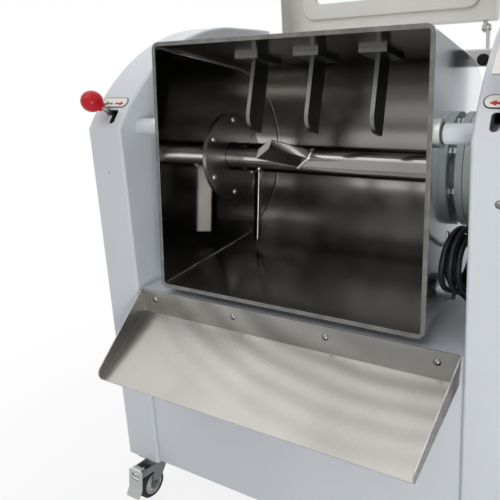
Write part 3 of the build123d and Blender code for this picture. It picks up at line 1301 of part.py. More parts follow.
def main():
    os.makedirs("parts", exist_ok=True)
    save("left_column", left_column())
    save("right_column", right_column())
    save("side_covers", both_sides(side_cover()))
    save("frame_plates", [right_frame_plate(), mirrored(frame_plate())])
    save("base_frame", base_frame())
    save("front_panel", front_panel())
    save("rear_panel", rear_panel())
    save("deck_plate", deck_plate())
    save("chute", chute())
    save("panel_screws", panel_screws())
    save("bearing_housings", both_sides(trunnion_bearing()) + [countershaft_bearing()])
    save("lock_guides", both_sides(lock_guide()))
    save("lid_crossbar", lid_crossbar())
    save("lid_hinge_pins", both_sides(hinge_pin()))
    save("stop_bumpers", both_sides(stop_bumper()))
    save("limit_switch", limit_switch())
    save("control_plate", control_plate())
    save("button_bezels", button_bezels())
    save("motor", motor())
    save("drive_belt", drive_belt())
    save("cord_gland", cord_gland())
    save("cord_hook", cord_hook())
    save("cord_leads", cord_leads())
    save("cord_coil", cord_coil())
    save("power_plug", power_plug())

    save("trough_shell", trough_shell())
    save("dough_bars", dough_bars())
    save("trunnion_flanges", both_sides(tilted(trunnion_flange())))
    save("trunnion_journals", both_sides(tilted(trunnion_journal())))
    save("flange_bolts", flange_bolts())
    save("seal_discs", both_sides(tilted(seal_disc())))
    save("seal_disc_bolts", seal_disc_bolts())
    save("lock_cups", lock_cups())

    save("agitator_shaft", agitator_shaft())
    save("kneading_blades", kneading_blades())
    save("main_gear", main_gear())
    save("countershaft", countershaft())
    save("large_pulley", large_pulley())
    save("motor_pulley", motor_pulley())

    save("lid_pan", lid_pan())
    save("window_frame", window_frame())
    save("lid_window", lid_window())
    save("lid_handle", lid_handle())

    save("right_lock_pin", lock_pin())
    save("left_lock_pin", mirrored(lock_pin()))
    save("right_knob", knob())
    save("left_knob", mirrored(knob()))

    low, middle, high = button_places()
    save("start_button", push_button(low))
    save("stop_button", push_button(middle))
    save("emergency_button", emergency_button(high))

    plates = []
    for x in (-CASTER_X, CASTER_X):
        plates.append(caster_plate(x, CASTER_FRONT_Y))
        plates.append(caster_plate(x, CASTER_REAR_Y))
    save("caster_plates", plates)
    save("rear_caster_forks", [fork(x, CASTER_REAR_Y, 0, False) for x in (-CASTER_X, CASTER_X)])
    for side, x in (("left", -CASTER_X), ("right", CASTER_X)):
        save(f"front_{side}_fork", fork(x, CASTER_FRONT_Y, WHEEL_TRAIL, True))
        save(f"front_{side}_wheel", wheel(x, CASTER_FRONT_Y, WHEEL_TRAIL))
        save(f"front_{side}_pedal", pedal(x, CASTER_FRONT_Y, WHEEL_TRAIL))
        save(f"rear_{side}_wheel", wheel(x, CASTER_REAR_Y, 0))


main()
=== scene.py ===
import json
from math import cos, pi, radians, sin, sqrt

import bpy
from mathutils import Matrix, Vector


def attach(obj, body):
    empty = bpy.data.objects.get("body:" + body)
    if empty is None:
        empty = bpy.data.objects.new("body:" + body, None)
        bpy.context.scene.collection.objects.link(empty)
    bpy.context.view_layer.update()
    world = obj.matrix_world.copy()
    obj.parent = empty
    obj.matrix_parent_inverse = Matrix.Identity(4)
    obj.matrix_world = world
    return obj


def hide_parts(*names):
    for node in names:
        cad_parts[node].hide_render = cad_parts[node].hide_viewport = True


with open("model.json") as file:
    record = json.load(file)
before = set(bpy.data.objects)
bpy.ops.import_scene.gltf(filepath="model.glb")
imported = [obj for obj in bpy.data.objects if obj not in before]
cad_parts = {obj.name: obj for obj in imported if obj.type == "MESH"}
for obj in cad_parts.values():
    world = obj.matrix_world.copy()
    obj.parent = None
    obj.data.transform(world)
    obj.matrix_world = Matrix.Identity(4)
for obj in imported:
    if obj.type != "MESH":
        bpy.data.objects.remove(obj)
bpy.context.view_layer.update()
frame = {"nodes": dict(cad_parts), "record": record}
NODES = frame["nodes"]

# Camera read from the photograph: image in pixels, sensor in millimetres, place in metres, turns in degrees
IMAGE_SIDE = 500.0
SENSOR = 36.0
FOCAL_PIXELS = 539.6
CENTRE_PIXEL = (321.7, 195.8)
CAMERA_SPOT = (0.47473, -0.92087, 0.89248)
CAMERA_YAW = 28.183
CAMERA_PITCH = 12.999
CAMERA_ROLL = -1.858

# Shaft axis of the trough, which the added pieces are placed from
AXIS_Y = 0.0265265
AXIS_Z = 0.717

# Mains cord: its route before and after the loose turns, from the shaft axis
CORD_DIAMETER = 0.009
CORD_FEED = ((0.292, 0.046, -0.186), (0.292, 0.046, -0.152), (0.288, -0.022, -0.141),
             (0.281, -0.095, -0.106))
CORD_TAIL = ((0.286, -0.132, -0.176), (0.296, -0.098, -0.212), (0.296, -0.072, -0.212))
CORD_ORDER = 3
CORD_STEPS = 5
CORD_ROUNDNESS = 4

# Loose turns of the cord: an inner set, a step out and an outer set wound back over it, fanned out below
COIL_X = 0.2947
COIL_Y = -0.165
COIL_Z = -0.110
COIL_YAW = 11.0
COIL_PITCH = 0.011
COIL_POINTS = 14
COIL_START = 55.0
INNER_TURNS = 2.0
STEP_TURNS = 0.5
OUTER_TURNS = 2.0
INNER_RADIUS = 0.0375
OUTER_RADIUS = 0.0490
LOOSE_SWING = 0.002
LOOSE_WAVES = 0.7
FAN_SHARE = 0.3

# Brow of the columns, an arc in the side view
BROW_RADIUS = 0.440
BROW_Y = 0.1231291 + AXIS_Y
BROW_Z = -0.158 + AXIS_Z

# Oval arrow plates over the lever slots
PLATE_X = 0.360
PLATE_ANGLE = 49.2
PLATE_HALF_LENGTH = 0.034
PLATE_HALF_WIDTH = 0.0115
PLATE_EDGE = 0.0018
PLATE_RISE = 0.0006
PLATE_ROWS = 18
THICKEN_INWARD = -1
ARROW_LENGTH = 0.022
ARROW_HEAD = 0.009
ARROW_HALF_HEAD = 0.0045
ARROW_HALF_SHAFT = 0.0017
ARROW_MIDDLE = 0.0145
ARROW_DROP = 0.003

# Kneading blades: place along the shaft and angle round it, and the weld beads at their feet
BLADES = ((-0.183, -82.0), (-0.055, 15.5), (0.193, 195.5))
SHAFT_RADIUS = 0.030
BLADE_LONG = 0.050
BLADE_SHORT = 0.021
BLADE_SKEW = 48.0
BLADE_PITCH = 52.8
WELD_RADIUS = 0.0034
WELD_STEPS = 26
WELD_ROUNDNESS = 3

# Lock pins: paint ends and the bare lever begins just past the pin's radius
PIN_Y = -0.192 + AXIS_Y
PIN_Z = 0.084 + AXIS_Z
PIN_RADIUS = 0.015
PIN_PAINT_PAST = 0.0015
ROD_CLOUD = 40.0
ROD_COLOURS = ((0.16, 0.16, 0.16), (0.24, 0.24, 0.23))

# Caster wheels: hub and tread part at the hub's radius
FRONT_AXLE_Y = -0.242 + AXIS_Y
REAR_AXLE_Y = 0.225547 + AXIS_Y
AXLE_Z = 0.031
HUB_RADIUS = 0.0215
HUB_CLOUD = 60.0
HUB_COLOURS = ((0.58, 0.59, 0.60), (0.68, 0.69, 0.70))

# Trough: outer face of the end walls, direction of the mouth in degrees from upright, polish of each part
END_WALL = 0.255
END_WALL_SKIN = 0.001
MOUTH_TILT = 85.5
RIM_DEPTH = 0.0012
WRAPPER_ROUGH = 0.19
WALL_POLISH = 0.12
OUTSIDE_DULL = 0.05
BRUSH_SWING = (0.8, 1.2)
# Pale colour of the end walls' outer faces is painted light, standing in for light and reflection they
# don't catch
OUTSIDE_PAINTED_LIGHT_CLOUD = 8.0
OUTSIDE_PAINTED_LIGHT_COLOURS = ((0.74, 0.75, 0.76), (0.82, 0.83, 0.84))
# Dark colour of the rim past the mouth is painted shade, dimming the rim's reflection
RIM_SHADE_CLOUD = 60.0
RIM_SHADE_COLOURS = ((0.13, 0.13, 0.125), (0.20, 0.20, 0.19))

# Darker arcs painted on the chute as painted reflection bands, fading out with distance from a centre
# behind and above it
ARC_CENTRE = (0.20, 0.461, 0.827)
ARC_PITCH = 0.038
ARC_NEAR = 0.80
ARC_FAR = 0.96
ARC_DEPTH = 0.75
ARC_WANDER = 3.5
ARC_WANDER_SCALE = 6.0
ARC_REFLECTION_CLOUD = 8.0
ARC_REFLECTION_COLOURS = ((0.17, 0.165, 0.155), (0.23, 0.22, 0.21))

# Clear window of the lid
WINDOW_TINT = (0.95, 0.98, 0.98, 1)
WINDOW_ROUGH = (0.01, 0.05)
WINDOW_HAZE = 14.0
WINDOW_IOR = 1.1

# Surface texture: noise scales in waves per metre, heights, soft edges and blends in metres
PAINT_CLOUD = 3.0
PAINT_PEEL = 420.0
PEEL_RELIEF = 0.05
PEEL_HEIGHT = 0.0004
STEEL_CLOUD = 5.0
STEEL_CLOUD_DETAIL = 3.0
BRUSH_DETAIL = 6.0
BRUSH_ROUGHNESS = 0.6
PLASTIC_CLOUD = 25.0
FINE_DETAIL = 2.0
GRAIN_HEIGHT = 0.0003
SOFT_EDGE = 0.0008
SOFT_EDGE_SAMPLES = 4
PARTING_BLEND = 0.0006

# Range of a noise that a ramp of colours or a span of values covers
RAMP_RANGE = (0.3, 0.7)
SPAN_RANGE = (0.25, 0.75)

# Sockets of a colour mix node, whose names aren't unique
MIX_FACTOR, MIX_FIRST, MIX_SECOND, MIX_RESULT = 0, 6, 7, 2

# Studio: a dim room in front and a white backdrop behind, blended over the Y of the direction
ROOM_COLOUR = (0.80, 0.82, 0.85, 1)
ROOM_STRENGTH = 0.10
WHITE_LIGHT = (1, 1, 1, 1)
WHITE_STRENGTH = 1.0
BACKDROP_BLEND = (-0.1, 0.3)
FLOOR_HALF = 30.0
FLOOR_COLOURS = ((0.66, 0.66, 0.66), (0.68, 0.68, 0.68))
FLOOR_ROUGH = (0.7, 0.8)
FLOOR_GLOW_REACH = (0.6, 1.3)
FLOOR_GLOW_SHARE = (0.85, 1.0)

# Rays that see the white background all round, while the others meet the dim room in front
PICTURED_RAYS = ("Is Camera Ray", "Is Glossy Ray", "Is Transmission Ray")

# Lamps: name, place, target, size in metres and power in watts
LAMPS = (
    ("key", (1.25, -1.7, 0.5), (0.1, 0, 0.5), (0.8, 0.8), 16),
    ("fill", (-0.6, -2.4, 3.4), (0, 0, 0.7), (4.0, 2.6), 28),
    ("top", (-1.2, 0.0, 3.2), (-0.4, 0, 0.6), (6.0, 3.2), 48),
)


def from_shaft(x, y, z):
    return (x, y + AXIS_Y, z + AXIS_Z)


def add_object(name, data):
    obj = bpy.data.objects.new(name, data)
    bpy.context.scene.collection.objects.link(obj)
    return obj


# Shader helpers
def new_material(name):
    material = bpy.data.materials.new(name)
    material.use_nodes = True
    return material, *shader_parts(material)


def shader_parts(material):
    tree = material.node_tree
    return tree.nodes, tree.links, tree.nodes["Principled BSDF"]


def source_of(socket):
    return socket.links[0].from_socket


def texture_place(nodes, links, scale=(1, 1, 1), shift=(0, 0, 0)):
    place = nodes.new("ShaderNodeTexCoord")
    stretch = nodes.new("ShaderNodeMapping")
    stretch.inputs["Scale"].default_value = scale
    stretch.inputs["Location"].default_value = shift
    links.new(place.outputs["Object"], stretch.inputs["Vector"])
    return stretch.outputs["Vector"]


def noise(nodes, links, vector, scale, detail=4.0, roughness=0.5):
    texture = nodes.new("ShaderNodeTexNoise")
    texture.inputs["Scale"].default_value = scale
    texture.inputs["Detail"].default_value = detail
    texture.inputs["Roughness"].default_value = roughness
    links.new(vector, texture.inputs["Vector"])
    return texture.outputs["Fac"]


def calculate(nodes, links, operation, first, second=0.0):
    step = nodes.new("ShaderNodeMath")
    step.operation = operation
    for socket, value in zip(step.inputs, (first, second)):
        if isinstance(value, float):
            socket.default_value = value
        else:
            links.new(value, socket)
    return step.outputs["Value"]


def map_range(nodes, links, value, source, target=(0.0, 1.0)):
    mapped = nodes.new("ShaderNodeMapRange")
    mapped.inputs["From Min"].default_value, mapped.inputs["From Max"].default_value = source
    mapped.inputs["To Min"].default_value, mapped.inputs["To Max"].default_value = target
    links.new(value, mapped.inputs["Value"])
    return mapped.outputs["Result"]


def length_of(nodes, links, vector):
    reach = nodes.new("ShaderNodeVectorMath")
    reach.operation = "LENGTH"
    links.new(vector, reach.inputs[0])
    return reach.outputs["Value"]


def axis_of(nodes, links, vector, axis):
    axes = nodes.new("ShaderNodeSeparateXYZ")
    links.new(vector, axes.inputs["Vector"])
    return axes.outputs[axis]


def ramp(nodes, links, factor, dark, light):
    colours = nodes.new("ShaderNodeValToRGB")
    for stop, position, colour in zip(colours.color_ramp.elements, RAMP_RANGE, (dark, light)):
        stop.position = position
        stop.color = (*colour, 1)
    links.new(factor, colours.inputs["Fac"])
    return colours.outputs["Color"]


def mottle(nodes, links, place, scale, colours):
    return ramp(nodes, links, noise(nodes, links, place, scale), *colours)


def mix_colour(nodes, links, factor, first, second, shader):
    colour = nodes.new("ShaderNodeMix")
    colour.data_type = "RGBA"
    links.new(factor, colour.inputs[MIX_FACTOR])
    links.new(first, colour.inputs[MIX_FIRST])
    links.new(second, colour.inputs[MIX_SECOND])
    links.new(colour.outputs[MIX_RESULT], shader.inputs["Base Color"])


def bump(nodes, links, shader, height, strength, distance):
    corner = nodes.new("ShaderNodeBevel")
    corner.samples = SOFT_EDGE_SAMPLES
    corner.inputs["Radius"].default_value = SOFT_EDGE
    relief = nodes.new("ShaderNodeBump")
    relief.inputs["Strength"].default_value = strength
    relief.inputs["Distance"].default_value = distance
    links.new(corner.outputs["Normal"], relief.inputs["Normal"])
    links.new(height, relief.inputs["Height"])
    links.new(relief.outputs["Normal"], shader.inputs["Normal"])


def mix_shaders(nodes, links, share, first, second, output):
    mix = nodes.new("ShaderNodeMixShader")
    for source, socket in zip((share, first, second), mix.inputs):
        links.new(source, socket)
    links.new(mix.outputs["Shader"], nodes[output].inputs["Surface"])


# Kinds of finish
def coat(name, dark, light, rough, cloud_scale, grain, relief, height):
    material, nodes, links, shader = new_material(name)
    place = texture_place(nodes, links)
    cloud = noise(nodes, links, place, cloud_scale)
    fine = noise(nodes, links, place, grain, FINE_DETAIL)
    links.new(ramp(nodes, links, cloud, dark, light), shader.inputs["Base Color"])
    links.new(map_range(nodes, links, cloud, SPAN_RANGE, rough), shader.inputs["Roughness"])
    bump(nodes, links, shader, fine, relief, height)
    return material


def paint(name, dark, light, rough=(0.30, 0.42)):
    return coat(name, dark, light, rough, PAINT_CLOUD, PAINT_PEEL, PEEL_RELIEF, PEEL_HEIGHT)


def plastic(name, dark, light, rough, grain=600.0, relief=0.04, gloss=0.25):
    material = coat(name, dark, light, rough, PLASTIC_CLOUD, grain, relief, GRAIN_HEIGHT)
    shader = shader_parts(material)[-1]
    shader.inputs["Specular IOR Level"].default_value = gloss
    return material


def steel(name, dark, light, rough, stretch=(1, 1, 1), grain=60.0, relief=0.06, metallic=1.0):
    material, nodes, links, shader = new_material(name)
    shader.inputs["Metallic"].default_value = metallic
    brushed = texture_place(nodes, links, stretch)
    brush = noise(nodes, links, brushed, grain, BRUSH_DETAIL, BRUSH_ROUGHNESS)
    cloud = noise(nodes, links, texture_place(nodes, links), STEEL_CLOUD, STEEL_CLOUD_DETAIL)
    links.new(ramp(nodes, links, cloud, dark, light), shader.inputs["Base Color"])
    links.new(map_range(nodes, links, brush, SPAN_RANGE, rough), shader.inputs["Roughness"])
    bump(nodes, links, shader, brush, relief, GRAIN_HEIGHT)
    return material


def clear_sheet(name):
    material, nodes, links, shader = new_material(name)
    haze = noise(nodes, links, texture_place(nodes, links), WINDOW_HAZE)
    shader.inputs["Base Color"].default_value = WINDOW_TINT
    shader.inputs["Transmission Weight"].default_value = 1.0
    shader.inputs["IOR"].default_value = WINDOW_IOR
    links.new(map_range(nodes, links, haze, SPAN_RANGE, WINDOW_ROUGH), shader.inputs["Roughness"])
    return material


# Trough: mirror-polished end walls, brushed wrapper, outer end faces coloured pale as painted light, and
# the rim past the mouth coloured dark as painted shade
def past_mouth(nodes, links, place):
    tilt = radians(MOUTH_TILT)
    outward = Vector((0, -sin(tilt), cos(tilt)))
    mouth = max(vertex.co.dot(outward) for vertex in NODES["trough_shell"].data.vertices)
    reach = nodes.new("ShaderNodeVectorMath")
    reach.operation = "DOT_PRODUCT"
    reach.inputs[1].default_value = outward
    links.new(place, reach.inputs[0])
    return calculate(nodes, links, "GREATER_THAN", reach.outputs["Value"], mouth - RIM_DEPTH)


def trough_sheet(name):
    material = steel(name, dark=(0.25, 0.25, 0.24), light=(0.32, 0.31, 0.30), rough=BRUSH_SWING,
                     stretch=(1, 30, 30), grain=40.0, relief=0.05)
    nodes, links, shader = shader_parts(material)
    inside = source_of(shader.inputs["Base Color"])
    brush = source_of(shader.inputs["Roughness"])
    place = texture_place(nodes, links)
    surface = nodes.new("ShaderNodeNewGeometry")
    facing = axis_of(nodes, links, surface.outputs["True Normal"], "X")
    end_wall = calculate(nodes, links, "MULTIPLY", facing, facing)
    reach = calculate(nodes, links, "ABSOLUTE", axis_of(nodes, links, place, "X"))
    past_wall = calculate(nodes, links, "GREATER_THAN", reach, END_WALL - END_WALL_SKIN)
    outer = calculate(nodes, links, "MULTIPLY", past_wall, end_wall)
    polish = calculate(nodes, links, "MULTIPLY", end_wall, WALL_POLISH)
    polished = calculate(nodes, links, "SUBTRACT", WRAPPER_ROUGH, polish)
    dull = calculate(nodes, links, "MULTIPLY", outer, OUTSIDE_DULL)
    dulled = calculate(nodes, links, "ADD", polished, dull)
    links.new(calculate(nodes, links, "MULTIPLY", dulled, brush), shader.inputs["Roughness"])
    # Painted light: the outer faces of the end walls get a pale colour in place of the light they don't
    # catch
    painted_light_outside = mottle(nodes, links, place, OUTSIDE_PAINTED_LIGHT_CLOUD, OUTSIDE_PAINTED_LIGHT_COLOURS)
    mix_colour(nodes, links, outer, inside, painted_light_outside, shader)
    walls = source_of(shader.inputs["Base Color"])
    # Painted shade: the rim past the mouth is coloured dark to dim its reflection
    painted_rim_shade = mottle(nodes, links, place, RIM_SHADE_CLOUD, RIM_SHADE_COLOURS)
    mix_colour(nodes, links, past_mouth(nodes, links, place), walls, painted_rim_shade, shader)
    return material


# Chute: satin sheet with faint arcs painted on as painted reflection
def chute_sheet(name):
    material = steel(name, dark=(0.29, 0.28, 0.265), light=(0.37, 0.36, 0.34), rough=(0.24, 0.36),
                     stretch=(20, 1, 1), grain=50.0, relief=0.006)
    nodes, links, shader = shader_parts(material)
    sheet = source_of(shader.inputs["Base Color"])
    from_centre = texture_place(nodes, links, shift=[-part for part in ARC_CENTRE])
    reach = length_of(nodes, links, from_centre)
    drift = noise(nodes, links, from_centre, ARC_WANDER_SCALE, FINE_DETAIL)
    wander = calculate(nodes, links, "MULTIPLY", drift, ARC_WANDER)
    turn = calculate(nodes, links, "MULTIPLY", reach, 2 * pi / ARC_PITCH)
    wave = calculate(nodes, links, "SINE", calculate(nodes, links, "ADD", turn, wander))
    arc = map_range(nodes, links, wave, (-1.0, 1.0))
    fade = map_range(nodes, links, reach, (ARC_NEAR, ARC_FAR), (ARC_DEPTH, 0.0))
    share = calculate(nodes, links, "MULTIPLY", arc, fade)
    # The darker colour mixed in along the arcs is painted reflection
    painted_reflection_arcs = mottle(nodes, links, from_centre, ARC_REFLECTION_CLOUD, ARC_REFLECTION_COLOURS)
    mix_colour(nodes, links, share, sheet, painted_reflection_arcs, shader)
    return material


# Pieces of two finishes that part at a radius round an axis along X
def past_radius(nodes, links, axis_y, axis_z, radius):
    from_axis = texture_place(nodes, links, (0, 1, 1), (0, -axis_y, -axis_z))
    return map_range(nodes, links, length_of(nodes, links, from_axis), (radius, radius + PARTING_BLEND))


def wheel(name, axle_y):
    material = plastic(name, dark=(0.018, 0.018, 0.018), light=(0.034, 0.034, 0.033), rough=(0.50, 0.70),
                       grain=250.0, relief=0.1, gloss=0.2)
    nodes, links, shader = shader_parts(material)
    tread = source_of(shader.inputs["Base Color"])
    hub = mottle(nodes, links, texture_place(nodes, links), HUB_CLOUD, HUB_COLOURS)
    mix_colour(nodes, links, past_radius(nodes, links, axle_y, AXLE_Z, HUB_RADIUS), hub, tread, shader)
    return material


def pin_paint(name, colours):
    material = paint(name, *colours)
    nodes, links, shader = shader_parts(material)
    painted = source_of(shader.inputs["Base Color"])
    rod = mottle(nodes, links, texture_place(nodes, links), ROD_CLOUD, ROD_COLOURS)
    lever = past_radius(nodes, links, PIN_Y, PIN_Z, PIN_RADIUS + PIN_PAINT_PAST)
    mix_colour(nodes, links, lever, painted, rod, shader)
    links.new(lever, shader.inputs["Metallic"])
    return material


# Finishes
WHITE_COLOURS = ((0.62, 0.65, 0.69), (0.67, 0.70, 0.74))
WHITE = paint("white_coat", *WHITE_COLOURS)
PIN_PAINT = pin_paint("pin_coat", WHITE_COLOURS)
CHUTE_STEEL = chute_sheet("satin_sheet")
LID_STEEL = steel("brushed_lid", dark=(0.66, 0.65, 0.62), light=(0.74, 0.73, 0.70), rough=(0.40, 0.52),
                  stretch=(1, 18, 18), grain=90.0, metallic=0.4)
TROUGH_STEEL = trough_sheet("polished_trough")
DISC_STEEL = steel("dull_disc", dark=(0.15, 0.15, 0.15), light=(0.21, 0.21, 0.20), rough=(0.28, 0.38),
                   stretch=(1, 6, 6), grain=80.0)
SHAFT_STEEL = steel("polished_shaft", dark=(0.23, 0.23, 0.22), light=(0.30, 0.29, 0.28), rough=(0.12, 0.20),
                    stretch=(14, 1, 1))
BLADE_STEEL = steel("ground_blade", dark=(0.25, 0.25, 0.24), light=(0.34, 0.33, 0.315), rough=(0.12, 0.20),
                    stretch=(6, 1, 1))
WELD_STEEL = steel("weld_bead", dark=(0.60, 0.59, 0.57), light=(0.76, 0.75, 0.72), rough=(0.20, 0.34),
                   grain=200.0, relief=0.3)
SCREW_STEEL = steel("dome_screw", dark=(0.17, 0.165, 0.16), light=(0.24, 0.235, 0.225), rough=(0.14, 0.22),
                    grain=160.0)
FLANGE_GREY = paint("flange_grey", dark=(0.58, 0.61, 0.61), light=(0.66, 0.69, 0.69), rough=(0.36, 0.48))
GREY_STEEL = steel("turned_flange", dark=(0.46, 0.48, 0.47), light=(0.54, 0.56, 0.55), rough=(0.42, 0.56),
                   stretch=(30, 1, 1))
ZINC = steel("zinc_plate", dark=(0.40, 0.42, 0.42), light=(0.52, 0.54, 0.53), rough=(0.30, 0.44),
             grain=160.0, metallic=0.8)
FORK_STEEL = steel("dull_fork", dark=(0.16, 0.17, 0.17), light=(0.24, 0.25, 0.25), rough=(0.42, 0.56),
                   grain=220.0, metallic=0.7)
MOTOR_PAINT = paint("motor_coat", dark=(0.24, 0.28, 0.31), light=(0.30, 0.34, 0.37))
PLATE_CREAM = paint("plate_cream", dark=(0.78, 0.78, 0.72), light=(0.84, 0.84, 0.78), rough=(0.28, 0.36))
KNOB_RED = plastic("knob_red", dark=(0.50, 0.010, 0.020), light=(0.60, 0.018, 0.028), rough=(0.10, 0.18),
                   relief=0.01, gloss=0.18)
BUTTON_RED = plastic("button_red", dark=(0.50, 0.015, 0.012), light=(0.60, 0.025, 0.018),
                     rough=(0.18, 0.26))
BUTTON_GREEN = plastic("button_green", dark=(0.015, 0.24, 0.06), light=(0.022, 0.32, 0.08),
                       rough=(0.18, 0.26))
BLACK_PLASTIC = plastic("black_moulding", dark=(0.012, 0.012, 0.013), light=(0.022, 0.022, 0.024),
                        rough=(0.40, 0.55))
RUBBER = plastic("rubber", dark=(0.010, 0.010, 0.010), light=(0.020, 0.020, 0.020), rough=(0.55, 0.75),
                 grain=300.0, relief=0.1, gloss=0.2)
CORD_SHEATH = plastic("cord_sheath", dark=(0.004, 0.0045, 0.006), light=(0.010, 0.0105, 0.013),
                      rough=(0.30, 0.44), grain=500.0, relief=0.06, gloss=0.2)
FRONT_WHEEL = wheel("front_wheel", FRONT_AXLE_Y)
REAR_WHEEL = wheel("rear_wheel", REAR_AXLE_Y)
CLEAR = clear_sheet("clear_sheet")

SLOT_FINISH = {
    "white_paint": WHITE,
    "stainless": LID_STEEL,
    "polished_steel": TROUGH_STEEL,
    "machined_steel": GREY_STEEL,
    "cast_grey": FLANGE_GREY,
    "zinc": ZINC,
    "knob_red": KNOB_RED,
    "button_red": BUTTON_RED,
    "button_green": BUTTON_GREEN,
    "black_plastic": BLACK_PLASTIC,
    "black_rubber": RUBBER,
    "tyre_black": REAR_WHEEL,
    "cord_black": CORD_SHEATH,
    "clear": CLEAR,
    "motor_grey": MOTOR_PAINT,
}
NODE_FINISH = {
    "chute": CHUTE_STEEL,
    "agitator_shaft": SHAFT_STEEL,
    "kneading_blades": BLADE_STEEL,
    "dough_bars": DISC_STEEL,
    "seal_discs": DISC_STEEL,
    "panel_screws": SCREW_STEEL,
    "left_lock_pin": PIN_PAINT,
    "right_lock_pin": PIN_PAINT,
    "front_left_fork": FORK_STEEL,
    "front_right_fork": FORK_STEEL,
    "rear_caster_forks": FORK_STEEL,
    "front_left_wheel": FRONT_WHEEL,
    "front_right_wheel": FRONT_WHEEL,
}


def dress_frame():
    for part in frame["record"]["subparts"]:
        node = part["node"]
        mesh = NODES[node].data
        mesh.materials.clear()
        mesh.materials.append(NODE_FINISH.get(node, SLOT_FINISH[part["material_slot"]]))


def fit_piece(obj, body, material):
    obj.data.materials.append(material)
    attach(obj, body)
    return obj


def new_tube(name, kind, route, radius, roundness):
    curve = bpy.data.curves.new(name, "CURVE")
    curve.dimensions = "3D"
    curve.bevel_depth = radius
    curve.bevel_resolution = roundness
    spline = curve.splines.new(kind)
    spline.points.add(len(route) - 1)
    for point, place in zip(spline.points, route):
        point.co = (*place, 1)
    return curve, spline


# Mains cord in loose turns on its hook
def coil_points():
    points = []
    yaw = radians(COIL_YAW)
    turns = INNER_TURNS + STEP_TURNS + OUTER_TURNS
    for step in range(round(turns * COIL_POINTS) + 1):
        turn = step / COIL_POINTS
        angle = radians(COIL_START + 360 * turn)
        across = min(turn, INNER_TURNS) - max(turn - INNER_TURNS - STEP_TURNS, 0) - INNER_TURNS / 2
        grown = min(max((turn - INNER_TURNS) / STEP_TURNS, 0), 1)
        radius = INNER_RADIUS + (OUTER_RADIUS - INNER_RADIUS) * grown
        radius += LOOSE_SWING * sin(LOOSE_WAVES * angle)
        aside = COIL_PITCH * across * (1 + FAN_SHARE * (1 - sin(angle)) / 2)
        reach = radius * cos(angle)
        x = COIL_X + reach * sin(yaw) + aside * cos(yaw)
        y = COIL_Y + reach * cos(yaw) - aside * sin(yaw)
        points.append(from_shaft(x, y, COIL_Z + radius * sin(angle)))
    return points


def add_cord():
    feed = [from_shaft(*point) for point in CORD_FEED]
    tail = [from_shaft(*point) for point in CORD_TAIL]
    route = feed + coil_points() + tail
    curve, spline = new_tube("mains_cord", "NURBS", route, CORD_DIAMETER / 2, CORD_ROUNDNESS)
    curve.use_fill_caps = True
    spline.order_u = CORD_ORDER
    spline.use_endpoint_u = True
    spline.resolution_u = CORD_STEPS
    cord = fit_piece(add_object("mains_cord", curve), "base", CORD_SHEATH)
    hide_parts("cord_leads", "cord_coil")


# Oval plates with arrows, bent to the brow
def brow_point(x, arc, rise):
    angle = radians(PLATE_ANGLE) - arc / BROW_RADIUS
    reach = BROW_RADIUS + rise
    return (x, BROW_Y - reach * sin(angle), BROW_Z + reach * cos(angle))


def add_brow_sheet(name, points, faces, material):
    mesh = bpy.data.meshes.new(name)
    mesh.from_pydata(points, [], faces)
    mesh.update()
    sheet = fit_piece(add_object(name, mesh), "base", material)
    thick = sheet.modifiers.new("thickness", "SOLIDIFY")
    thick.thickness = PLATE_RISE
    thick.offset = THICKEN_INWARD


def add_oval(name, middle, inset, rise, material):
    half = PLATE_HALF_WIDTH - inset
    straight = PLATE_HALF_LENGTH - PLATE_HALF_WIDTH
    points = []
    for row in range(PLATE_ROWS + 1):
        arc = -half * cos(pi * row / PLATE_ROWS)
        reach = straight + sqrt(max(half * half - arc * arc, 0))
        points += [brow_point(middle - reach, arc, rise), brow_point(middle + reach, arc, rise)]
    faces = [(2 * row, 2 * row + 1, 2 * row + 3, 2 * row + 2) for row in range(PLATE_ROWS)]
    add_brow_sheet(name, points, faces, material)


def add_arrow(name, middle, way, rise, material):
    half = ARROW_LENGTH / 2
    neck = half - ARROW_HEAD
    outline = [(half, 0), (neck, ARROW_HALF_HEAD), (neck, ARROW_HALF_SHAFT), (-half, ARROW_HALF_SHAFT),
               (-half, -ARROW_HALF_SHAFT), (neck, -ARROW_HALF_SHAFT), (neck, -ARROW_HALF_HEAD)]
    points = [brow_point(middle + way * x, arc - ARROW_DROP, rise) for x, arc in outline]
    order = list(range(len(points)))
    add_brow_sheet(name, points, [order if way > 0 else order[::-1]], material)


def add_lever_plate(name, side):
    middle = side * PLATE_X
    add_oval(f"{name}_plate_edge", middle, 0, PLATE_RISE, BLACK_PLASTIC)
    add_oval(f"{name}_plate", middle, PLATE_EDGE, 2 * PLATE_RISE, PLATE_CREAM)
    rise = 3 * PLATE_RISE
    add_arrow(f"{name}_open_arrow", middle + side * ARROW_MIDDLE, side, rise, BUTTON_GREEN)
    add_arrow(f"{name}_shut_arrow", middle - side * ARROW_MIDDLE, -side, rise, BUTTON_RED)


# Weld beads where the blades meet the shaft
def blade_corners():
    skew_x = BLADE_SHORT / 2 * cos(radians(BLADE_SKEW))
    skew_y = BLADE_SHORT / 2 * sin(radians(BLADE_SKEW))
    pitch = Matrix.Rotation(radians(BLADE_PITCH), 2)
    flat = ((-BLADE_LONG / 2, 0), (skew_x, -skew_y), (BLADE_LONG / 2, 0), (-skew_x, skew_y))
    return [pitch @ Vector(corner) for corner in flat]


